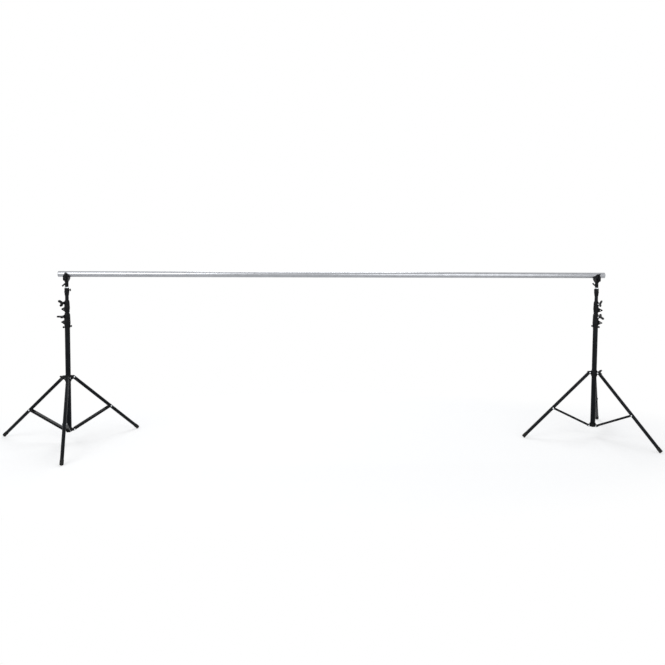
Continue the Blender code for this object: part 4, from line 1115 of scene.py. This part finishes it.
@dataclass
class JawClamp:
    """Cast clamp with a sliding front jaw, its screw with a sliding bar, and the socket lever."""

    side: Side
    place: Matrix
    bar_tilt: float
    lever_turn: float
    screw_level: float = 57.0 * MM
    screw_back: float = 27.3 * MM
    head_radius: float = 7.5 * MM
    head_length: float = 10.0 * MM
    shank_radius: float = 4.0 * MM
    shank_length: float = 44.0 * MM
    pitch: float = 1.75 * MM
    bar_radius: float = 2.6 * MM
    bar_length: float = 48.0 * MM
    bar_offset: float = 12.0 * MM
    lever_level: float = 17.0 * MM
    lever_boss: float = 6.0 * MM
    lever_length: float = 19.0 * MM
    lever_root: float = 4.3 * MM
    lever_tip: float = 5.3 * MM
    lever_pin: float = 3.0 * MM
    lever_cap: float = 3.1 * MM
    socket_half: float = 11.5 * MM

    def build(self) -> None:
        """Make the castings, the screw and the lever."""
        for name, body, node, round_mm in (
            ("clamp_casting", "clamp", "clamp_body", 1.0),
            ("front_jaw_casting", "front_jaw", "clamp_jaw", 0.9),
        ):
            shape = Shape(Finish.BLACK_CASTING).casting(self.side.tag + node, round_mm)
            shape.done(self.side, name, body, node, "black_casting")
        self._screw()
        self._lever()

    def _screw(self) -> None:
        """Make the screw: collared head, threaded shank and the bar that slides through the head."""
        place = self.place @ shift(y=-self.screw_back, z=self.screw_level) @ turn(self.bar_tilt, Axis.Y)
        lie = place @ turn(90, Axis.X)
        head, long = self.head_radius, self.head_length
        outline = [(0.0, long), *steps((head, long), MILLIMETRES, (-1.6, 0), (-0.5, -0.5), (0, -1.6))]
        outline += [*steps((head, 0), MILLIMETRES, (0, 1.4), (-0.4, 0.4), (-1.4, 0)), (0.0, 0.0)]
        shape = Shape(Finish.BLACK_STEEL, place).turned(outline, lie, segments=ROUND_SMALL)
        shank, foot = self.shank_radius, -self.shank_length
        turns = int(self.shank_length / self.pitch) - 1
        bolt = [(0.0, 1.0 * MM), (shank, 1.0 * MM), *thread(shank, self.pitch, turns, 0.15, 0.7 * MM)]
        bolt += [(shank - 1.2 * MM, foot), (0.0, foot)]
        shape.turned(bolt, lie, Finish.PLATED_STEEL, ROUND_RIVET)
        ends = [(0, -long / 2, self.bar_offset + way * self.bar_length / 2) for way in (-1, 1)]
        shape.rod(*ends, self.bar_radius)
        for end in ends:
            shape.ball(end, self.bar_radius * 1.7)
        shape.done(self.side, "jaw_screw_and_bar", "jaw_screw", "clamp_screw", "black_steel")

    def _lever(self) -> None:
        """Make the lever that locks the socket on the stud, with the plated pin through its boss."""
        place = self.place @ shift(z=self.lever_level) @ turn(self.lever_turn, Axis.X)
        start, boss = -self.socket_half - GAP, self.lever_boss
        end, lean = start - boss, self.lever_length / math.sqrt(2)
        shape = Shape(Finish.BLACK_STEEL, place)
        shape.rod((start, 0, 0), (end, 0, 0), boss, round_mm=0.9)
        pin = (-8.6 * MM, 0, 0), (start - 2.0 * MM, 0, 0)
        shape.rod(*pin, self.lever_pin, finish=Finish.PLATED_STEEL)
        root, tip = (start - boss * 0.6, 0, 0), (end - lean * 0.8, 0, lean)
        shape.rod(root, tip, self.lever_root, self.lever_tip, round_mm=1.6)
        cap = (start - 1.0 * MM, 0, 0), (end - 0.6 * MM, 0, 0)
        shape.rod(*cap, self.lever_cap, finish=Finish.PLATED_STEEL)
        shape.done(self.side, "socket_lock_lever", "socket_lever", "clamp_lock_lever", "black_steel")


# Legs


@dataclass
class LegSet:
    """Sliding hub, lower hub, three legs with their feet and three channel braces."""

    side: Side
    place: Matrix
    azimuth: float
    spread: float
    hub_level: float
    lower_level: float
    column: float = ColumnTubes.base_radius
    leg_radius: float = 11.0 * MM
    leg_wall: float = 1.3 * MM
    leg_length: float = 631.0 * MM
    plug_depth: float = 16.0 * MM
    brace_length: float = 289.0 * MM
    brace_wall: float = 1.5 * MM
    knee_distance: float = 354.0 * MM
    hub_pivot: float = 36.0 * MM
    lower_pivot: float = 33.0 * MM
    hub_wall: float = 3.4 * MM
    hub_above: float = 15.0 * MM
    hub_below: float = 27.0 * MM
    hub_ear: float = 9.0 * MM
    hub_ear_thickness: float = 3.6 * MM
    hub_boss: float = 6.5 * MM
    hub_boss_reach: float = 8.0 * MM
    lower_wall: float = 4.0 * MM
    lower_above: float = 15.0 * MM
    lower_below: float = 12.0 * MM
    lug_radius: float = 7.0 * MM
    pin_radius: float = 3.0 * MM
    rivet_radius: float = 5.2 * MM
    rivet_height: float = 2.0 * MM
    sole: float = 7.0 * MM
    foot_sleeve: float = 26.0 * MM
    foot_wall: float = 0.9 * MM
    ring_pitch: float = 4.6 * MM

    @property
    def brace_rise(self) -> float:
        """Angle in degrees by which the braces rise towards the knees."""
        reach = self.hub_pivot + self.knee_distance * math.sin(math.radians(self.spread))
        return math.degrees(math.acos((reach - self.lower_pivot) / self.brace_length))

    @property
    def channel_half(self) -> float:
        """Half the clear width inside a brace."""
        return self.leg_radius + GAP

    @property
    def brace_half(self) -> float:
        """Distance from a brace's middle to the undersides of its rivets' heads."""
        return self.channel_half + self.brace_wall + GAP

    def build(self) -> None:
        """Make both hubs, then each leg with its brace."""
        self._sliding_hub()
        self._lower_hub()
        for number in LEGS:
            self._leg(number)

    def _spoke(self, number: int, level: float) -> Matrix:
        """Frame of one leg's side of a hub, its X axis outwards."""
        return self.place @ shift(z=level) @ turn(self.azimuth + 120.0 * (number - 1), Axis.Z)

    def _rivet(self, shape: Shape, place: Matrix, grip: float) -> None:
        """Add a domed head at both ends of a rivet along Y.

        Args:
            shape: the shape that takes them.
            place: frame with the rivet's middle at its origin.
            grip: how far from the middle the undersides of the heads are.
        """
        radius, high = self.rivet_radius, self.rivet_height
        head = [(0.0, high), *dome(radius, high, 0.0, (0.3, 0.6, 0.9, 1.2, 1.42)), (radius, 0.0)]
        head += [(radius * 0.6, -0.2 * MM), (0.0, -0.2 * MM)]
        for way in (-1, 1):
            laid = place @ turn(-90 * way, Axis.X) @ shift(z=grip)
            shape.turned(head, laid, Finish.PLATED_STEEL, ROUND_RIVET)

    def _pin(self, shape: Shape, place: Matrix) -> None:
        """Add the shank of a brace's rivet."""
        ends = [(0, way * self.brace_half, 0) for way in (-1, 1)]
        shape.rod(*ends, self.pin_radius, place=place, finish=Finish.PLATED_STEEL)

    def _sliding_hub(self) -> None:
        """Make the sleeve with its ears, its boss and the rivets in the ears, then its wing screw."""
        bore = self.column + GAP
        outer, top, foot = bore + self.hub_wall, self.hub_above, -self.hub_below
        outline = steps((outer, top), MILLIMETRES, (-1.6, 0), (-1.1, -0.6), (-0.2, -3.4), (0, -4.4))
        outline += steps((outer, foot), MILLIMETRES, (0, 4.2), (-0.7, 3.4), (-0.7, 1), (-1.4, 0))
        outline += [(bore, foot), (bore, top)]
        level = self.place @ shift(z=self.hub_level)
        shape = Shape(Finish.BLACK_CASTING, level).turned(outline, ring=True, round_mm=0.3)
        ear, thick, root = self.hub_ear, self.hub_ear_thickness, outer * 0.625
        nose = arc((self.hub_pivot, 0.0), ear, -75, 90, 15)
        flank = [(root, -ear * 2.0), *nose, (root, ear)]
        for number in LEGS:
            spoke = self._spoke(number, self.hub_level)
            for way in (-1, 1):
                middle = spoke @ shift(y=way * (self.channel_half + thick / 2))
                shape.plate(flank, thick, middle, round_mm=0.9)
            self._rivet(shape, spoke @ shift(x=self.hub_pivot), self.channel_half + thick)
        facing, boss = level @ turn(self.azimuth + 60.0, Axis.Z), self.hub_boss
        end = outer + self.hub_boss_reach
        shape.rod((outer * 0.86, 0, 0), (end, 0, 0), boss, boss - 0.4 * MM, facing)
        shape.done(self.side, "leg_hub_casting", "hub", "leg_hub", "black_casting")
        WingKnob(
            self.side,
            "hub",
            facing @ shift(x=end + GAP) @ turn(90, Axis.Y),
            span=34.0 * MM,
            height=28.0 * MM,
            lobe_radius=5.5 * MM,
            bolt_length=self.hub_boss_reach + self.hub_wall - GAP,
        ).build()

    def _lower_hub(self) -> None:
        """Make the cup under the column with its three lugs and their rivets."""
        bore, top, low = self.column + GAP, self.lower_above, self.lower_below
        outer, floor = bore + self.lower_wall, self.lower_wall - low - GAP
        lug = self.lug_radius
        outline = steps((outer, top), MILLIMETRES, (-0.6, 0), (0, -0.6), (0, -3.6))
        outline += steps((outer, top), MILLIMETRES, (-0.5, -4.2), (-0.5, -6.2), (0, -6.8))
        outline += steps((0, 0), (outer, -low), (1, 0.32), (0.95, 0.56), (0.86, 0.76), (0.7, 0.91))
        outline += steps((0, 0), (outer, -low), (0.5, 1), (0.25, 1.05), (0, 1.07))
        outline += [(0.0, floor), (bore, floor), (bore, top)]
        shape = Shape(Finish.BLACK_CASTING, self.place @ shift(z=self.lower_level))
        shape.turned(outline, ring=True, round_mm=0.25)
        root, nose = bore + 0.2 * MM, arc((self.lower_pivot, 0.0), lug, -90, 90, 17)
        flank = [(root, -lug * 1.05), *nose, (root, lug * 1.3)]
        for number in LEGS:
            spoke = self._spoke(number, self.lower_level)
            shape.plate(flank, 2 * self.leg_radius, spoke, round_mm=1.2)
            pivot = spoke @ shift(x=self.lower_pivot)
            self._pin(shape, pivot)
            self._rivet(shape, pivot, self.brace_half)
        shape.done(self.side, "lower_hub_casting", "base", "lower_hub", "black_casting")

    def _leg(self, number: int) -> None:
        """Make one brace, the leg tube with its domed plug and knee rivet, and its foot.

        Args:
            number: which of the three.
        """
        foot = self._spoke(number, self.lower_level) @ shift(x=self.lower_pivot)
        foot = foot @ turn(-self.brace_rise, Axis.Y)
        knee = foot @ shift(x=self.brace_length) @ turn(self.brace_rise - self.spread, Axis.Y)
        node = f"brace_{number}"
        brace = Shape(Finish.BLACK_PRESSING).casting(self.side.tag + node, 0.55)
        brace.done(self.side, "channel_" + node, f"strut_{number}", node, "black_brace")
        top, bottom = self.knee_distance, self.knee_distance - self.leg_length
        radius, inner = self.leg_radius, self.leg_radius - self.leg_wall
        tube = [(radius, top), (radius, bottom), (inner, bottom), (inner, top)]
        leg = Shape(Finish.BLACK_ANODISED, knee)
        leg.turned(tube, segments=ROUND_LEG, ring=True, round_mm=0.25)
        seat, depth = inner - 0.1 * MM, top - self.plug_depth
        plug = [(0.0, top + radius * 0.995), *dome(radius, radius, top, (0.25, 0.5, 0.75, 1.0, 1.25, 1.45))]
        plug += [(radius, top + 0.5 * MM), (radius, top + 0.2 * MM), (seat, top + 0.2 * MM)]
        plug += [(seat, depth), (0.0, depth)]
        leg.turned(plug, finish=Finish.BLACK_NYLON, segments=ROUND_LEG)
        self._rivet(leg, knee, self.brace_half)
        self._pin(leg, knee)
        leg.done(self.side, f"leg_tube_{number}", f"limb_{number}", f"leg_{number}", "black_tube")
        self._foot(number, knee, bottom)

    def _foot(self, number: int, knee: Matrix, end: float) -> None:
        """Make the rubber cap on a leg's end: rolled mouth, grip rings and a worn sole.

        Args:
            number: which of the three.
            knee: the leg's frame.
            end: level of the tube's end in it.
        """
        inner, sole = self.leg_radius + GAP, self.sole
        outer, top = inner + self.foot_wall, end + self.foot_sleeve
        mouth = steps((outer, top), MILLIMETRES, (-0.35, 0), (0, -0.5), (0, -2.6), (-0.5, -3.2))
        outline = [(inner, top), *mouth]
        for ring in range(4):
            level = top - 7.0 * MM - ring * self.ring_pitch
            outline += steps((outer, level), MILLIMETRES, (-0.5, 1.4), (0, 0.7), (0, -0.7), (-0.5, -1.4))
        outline += steps((outer, end), MILLIMETRES, (-0.3, 0.6), (0, -0.4))
        outline += steps((0, end), (outer, -sole), (1, 0.4), (0.95, 0.62), (0.86, 0.8), (0.7, 0.93))
        outline += [(outer * 0.5, end - sole), (0.0, end - sole), (0.0, end - GAP), (inner, end - GAP)]
        foot = Shape(Finish.BLACK_RUBBER, knee).turned(outline, segments=ROUND_LEG, ring=True)
        foot.done(self.side, f"rubber_foot_{number}", f"limb_{number}", f"foot_{number}", "black_rubber")


# Stand


@dataclass
class Stand:
    """One light stand with its clamp, built from the place of its column."""

    side: Side
    leg_azimuth: float
    leg_spread: float
    base_collar: Point
    riser_collar: Point
    head_screw: float
    bar_tilt: float
    lever_turn: float
    ball_radius: float = 7.0 * MM
    ball_reach: float = 11.5 * MM
    ball_start: float = 18.9 * MM
    ball_levels: Point = (12.5 * MM, 4.5 * MM)

    def build(self) -> None:
        """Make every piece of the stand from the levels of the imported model."""
        low, high = self._box("base_column")
        foot = (low + high) / 2
        axis = shift(foot.x, foot.y)
        ColumnTubes(self.side, foot).build()
        base, lower, upper = ColumnTubes.base_radius, ColumnTubes.lower_radius, ColumnTubes.upper_radius
        for name, body, (facing, wing_turn), tube, riser, height, eye_level in (
            ("base", "base", self.base_collar, base, lower, 97.0 * MM, 36.5 * MM),
            ("riser", "lower_stage", self.riser_collar, lower, upper, 79.0 * MM, 19.0 * MM),
        ):
            place = axis @ shift(z=self._box(name + "_collar")[0].z) @ turn(facing, Axis.Z)
            SplitCollar(self.side, name, body, place, wing_turn, tube, riser, height, eye_level).build()
        self._collar_screws(axis @ shift(z=self._box("base_collar")[0].z))
        RiserHead(self.side, axis @ shift(z=self._box("riser_head")[0].z), self.head_screw).build()
        clamp = axis @ shift(z=self._box("clamp_body")[0].z)
        JawClamp(self.side, clamp, self.bar_tilt, self.lever_turn).build()
        hub_level = self._box("leg_hub")[0].z + LegSet.hub_below
        lower_level = self._box("lower_hub")[1].z - LegSet.lower_above
        LegSet(self.side, axis, self.leg_azimuth, self.leg_spread, hub_level, lower_level).build()

    def _box(self, node: str) -> tuple[Vector, Vector]:
        """Lowest and highest corners of one of the stand's CAD nodes."""
        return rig.box(self.side.tag + node)

    def _collar_screws(self, place: Matrix) -> None:
        """Make the two ball-headed screws at the foot of the base collar, the inner one higher.

        Args:
            place: frame at the collar's foot on the column's axis.
        """
        radius, reach = self.ball_radius, self.ball_reach
        middle, neck = reach * 0.52, radius * 0.6
        outline = [(0.0, reach)]
        outline += dome(radius, reach - middle, middle, (0.35, 0.7, 1.0, 1.3, 1.57, 1.85, 2.15, 2.4))
        outline += [(neck, reach * 0.12), (neck, 0.0), (0.0, 0.0)]
        inward = 1 if self.side is Side.LEFT else -1
        for number, way in ((1, 1), (2, -1)):
            level = self.ball_levels[0 if way == inward else 1]
            laid = place @ shift(x=way * self.ball_start, z=level) @ turn(90 * way, Axis.Y)
            shape = Shape(Finish.BLACK_STEEL, laid).turned(outline, segments=ROUND_SMALL)
            name = f"ball_screw_{number}"
            shape.done(self.side, name, "base", f"collar_screw_{number}", "black_steel")


# Studio


def seen_directly(tree: bpy.types.NodeTree) -> bpy.types.NodeSocket:
    """Tell the rays by which the background itself is seen: camera, mirror and glass rays.

    Args:
        tree: node tree of the world or of a material.

    Returns:
        Output that is 1 for those rays and 0 for the rays that carry light.
    """
    ray = add_node(tree, "ShaderNodeLightPath")
    kinds = ray.outputs["Is Camera Ray"]
    for kind in ("Is Glossy Ray", "Is Transmission Ray"):
        either = {0: kinds, 1: ray.outputs[kind]}
        kinds = add_node(tree, "ShaderNodeMath", {"operation": "MAXIMUM"}, either).outputs["Value"]
    return kinds


@dataclass(frozen=True)
class SoftLight:
    """A large soft lamp."""

    name: str
    place: Place
    aim: Place
    size: float
    watts: float

    def build(self) -> None:
        """Hang the lamp and point it."""
        data = bpy.data.lights.new(self.name, "AREA")
        data.shape = "SQUARE"
        data.size = self.size
        data.energy = self.watts
        lamp = put(self.name, data)
        lamp.location = self.place
        aim = Vector(self.aim) - Vector(self.place)
        lamp.rotation_euler = aim.to_track_quat("-Z", "Y").to_euler()


@dataclass
class Studio:
    """White room with soft lamps, and the camera of the photograph."""

    camera_place: Place = (-0.2532, -4.7592, 1.3695)
    heading: float = 3.8264
    pitch: float = 3.5081
    roll: float = 0.3565
    lens: float = 38.8714
    film_width: float = 36.0
    shift_up: float = -0.0777
    room_grey: str = "c9ccd0"
    room_strength: float = 0.75
    floor_paint: str = "f8f8f8"
    floor_roughness: float = 0.9
    floor_size: float = 60.0
    shadow_reach: float = 2.25
    white_reach: float = 3.0
    depth_weight: float = 2.0
    near_white: float = 0.5
    lights: list[SoftLight] = field(
        default_factory=lambda: [
            SoftLight("key_softbox", (-4.4, -4.6, 4.4), (-0.6, 0.0, 0.7), 4.6, 240.0),
            SoftLight("fill_softbox", (3.1, -4.9, 2.3), (1.2, 0.0, 0.7), 4.4, 110.0),
            SoftLight("back_softbox", (0.0, 4.2, 5.2), (0.0, 0.2, 0.6), 4.0, 200.0),
        ]
    )

    def build(self) -> None:
        """Set the room, the lamps, the camera and the plain view."""
        self._world()
        self._floor()
        for light in self.lights:
            light.build()
        self._camera()
        bpy.context.scene.view_settings.view_transform = "Standard"

    def _world(self) -> None:
        """White to the camera and in reflections, and a plain grey for the light it gives."""
        world = bpy.data.worlds.new("white_studio")
        bpy.context.scene.world = world
        world.use_nodes = True
        tree = world.node_tree
        plain = tree.nodes["Background"]
        plain.inputs["Color"].default_value = linear(self.room_grey)
        plain.inputs["Strength"].default_value = self.room_strength
        white = add_node(tree, "ShaderNodeBackground", {"Color": linear(WHITE), "Strength": 1.0})
        sources = {"Fac": seen_directly(tree), 1: plain.outputs[0], 2: white.outputs[0]}
        choose = add_node(tree, "ShaderNodeMixShader", links=sources)
        tree.links.new(choose.outputs["Shader"], tree.nodes["World Output"].inputs["Surface"])

    def _floor(self) -> None:
        """Pale floor that takes the stand's soft shadow and is white further out."""
        mesh = bpy.data.meshes.new("studio_floor")
        bm = bmesh.new()
        bmesh.ops.create_grid(bm, x_segments=1, y_segments=1, size=self.floor_size / 2)
        bm.to_mesh(mesh)
        bm.free()
        paint, shader, where = new_material("matt_white_vinyl_floor")
        tree = paint.node_tree
        shader.inputs["Base Color"].default_value = linear(self.floor_paint)
        shader.inputs["Roughness"].default_value = self.floor_roughness
        squash = {"Scale": (1.0, self.depth_weight, 1.0)}
        flat = add_node(tree, "ShaderNodeMapping", squash, {"Vector": where}).outputs["Vector"]
        away = add_node(tree, "ShaderNodeVectorMath", {"operation": "LENGTH"}, {"Vector": flat})
        span = spread(self.shadow_reach, self.white_reach, self.near_white, 1.0)
        fade = add_node(tree, "ShaderNodeMapRange", span, {"Value": away.outputs["Value"]})
        both = {0: fade.outputs["Result"], 1: seen_directly(tree)}
        seen = add_node(tree, "ShaderNodeMath", {"operation": "MULTIPLY"}, both)
        white = add_node(tree, "ShaderNodeEmission", {"Color": linear(WHITE), "Strength": 1.0})
        sources = {"Fac": seen.outputs["Value"], 1: shader.outputs["BSDF"], 2: white.outputs["Emission"]}
        mixed = add_node(tree, "ShaderNodeMixShader", links=sources)
        tree.links.new(mixed.outputs["Shader"], tree.nodes["Material Output"].inputs["Surface"])
        mesh.materials.append(paint)
        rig.stage(put("studio_floor", mesh))

    def _camera(self) -> None:
        """Place the camera as the photograph was taken."""
        data = bpy.data.cameras.new("photo_camera")
        data.lens = self.lens
        data.sensor_width = self.film_width
        data.shift_y = self.shift_up
        camera = put("photo_camera", data)
        look = turn(-self.heading, Axis.Z) @ turn(90.0 - self.pitch, Axis.X) @ turn(self.roll, Axis.Z)
        camera.matrix_world = shift(*self.camera_place) @ look
        bpy.context.scene.camera = camera


def write_sizes() -> None:
    """Note the box of the plain model and of the dressed one as plain lists."""
    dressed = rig.bounds()
    boxes = {
        "cad": [list(CAD_BOX[0]), list(CAD_BOX[1])],
        "scene": [list(dressed[0]), list(dressed[1])],
    }
    with open(SIZE_FILE, "w", encoding="utf-8") as out:
        json.dump(boxes, out)


def main() -> None:
    """Build the crossbar, both stands and the room."""
    low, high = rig.box("crossbar")
    Crossbar((low + high) / 2).build()
    Stand(
        side=Side.LEFT,
        leg_azimuth=161.4,
        leg_spread=47.8,
        base_collar=(156.0, -8.0),
        riser_collar=(156.0, -65.0),
        head_screw=0.0,
        bar_tilt=9.0,
        lever_turn=180.0,
    ).build()
    Stand(
        side=Side.RIGHT,
        leg_azimuth=302.5,
        leg_spread=46.6,
        base_collar=(-50.0, 54.0),
        riser_collar=(-41.0, -78.0),
        head_screw=100.0,
        bar_tilt=10.0,
        lever_turn=0.0,
    ).build()
    Studio().build()
    bpy.context.view_layer.update()
    write_sizes()
    log.info("%d pieces ride the model", len(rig.table()))


if __name__ == "__main__":
    main()
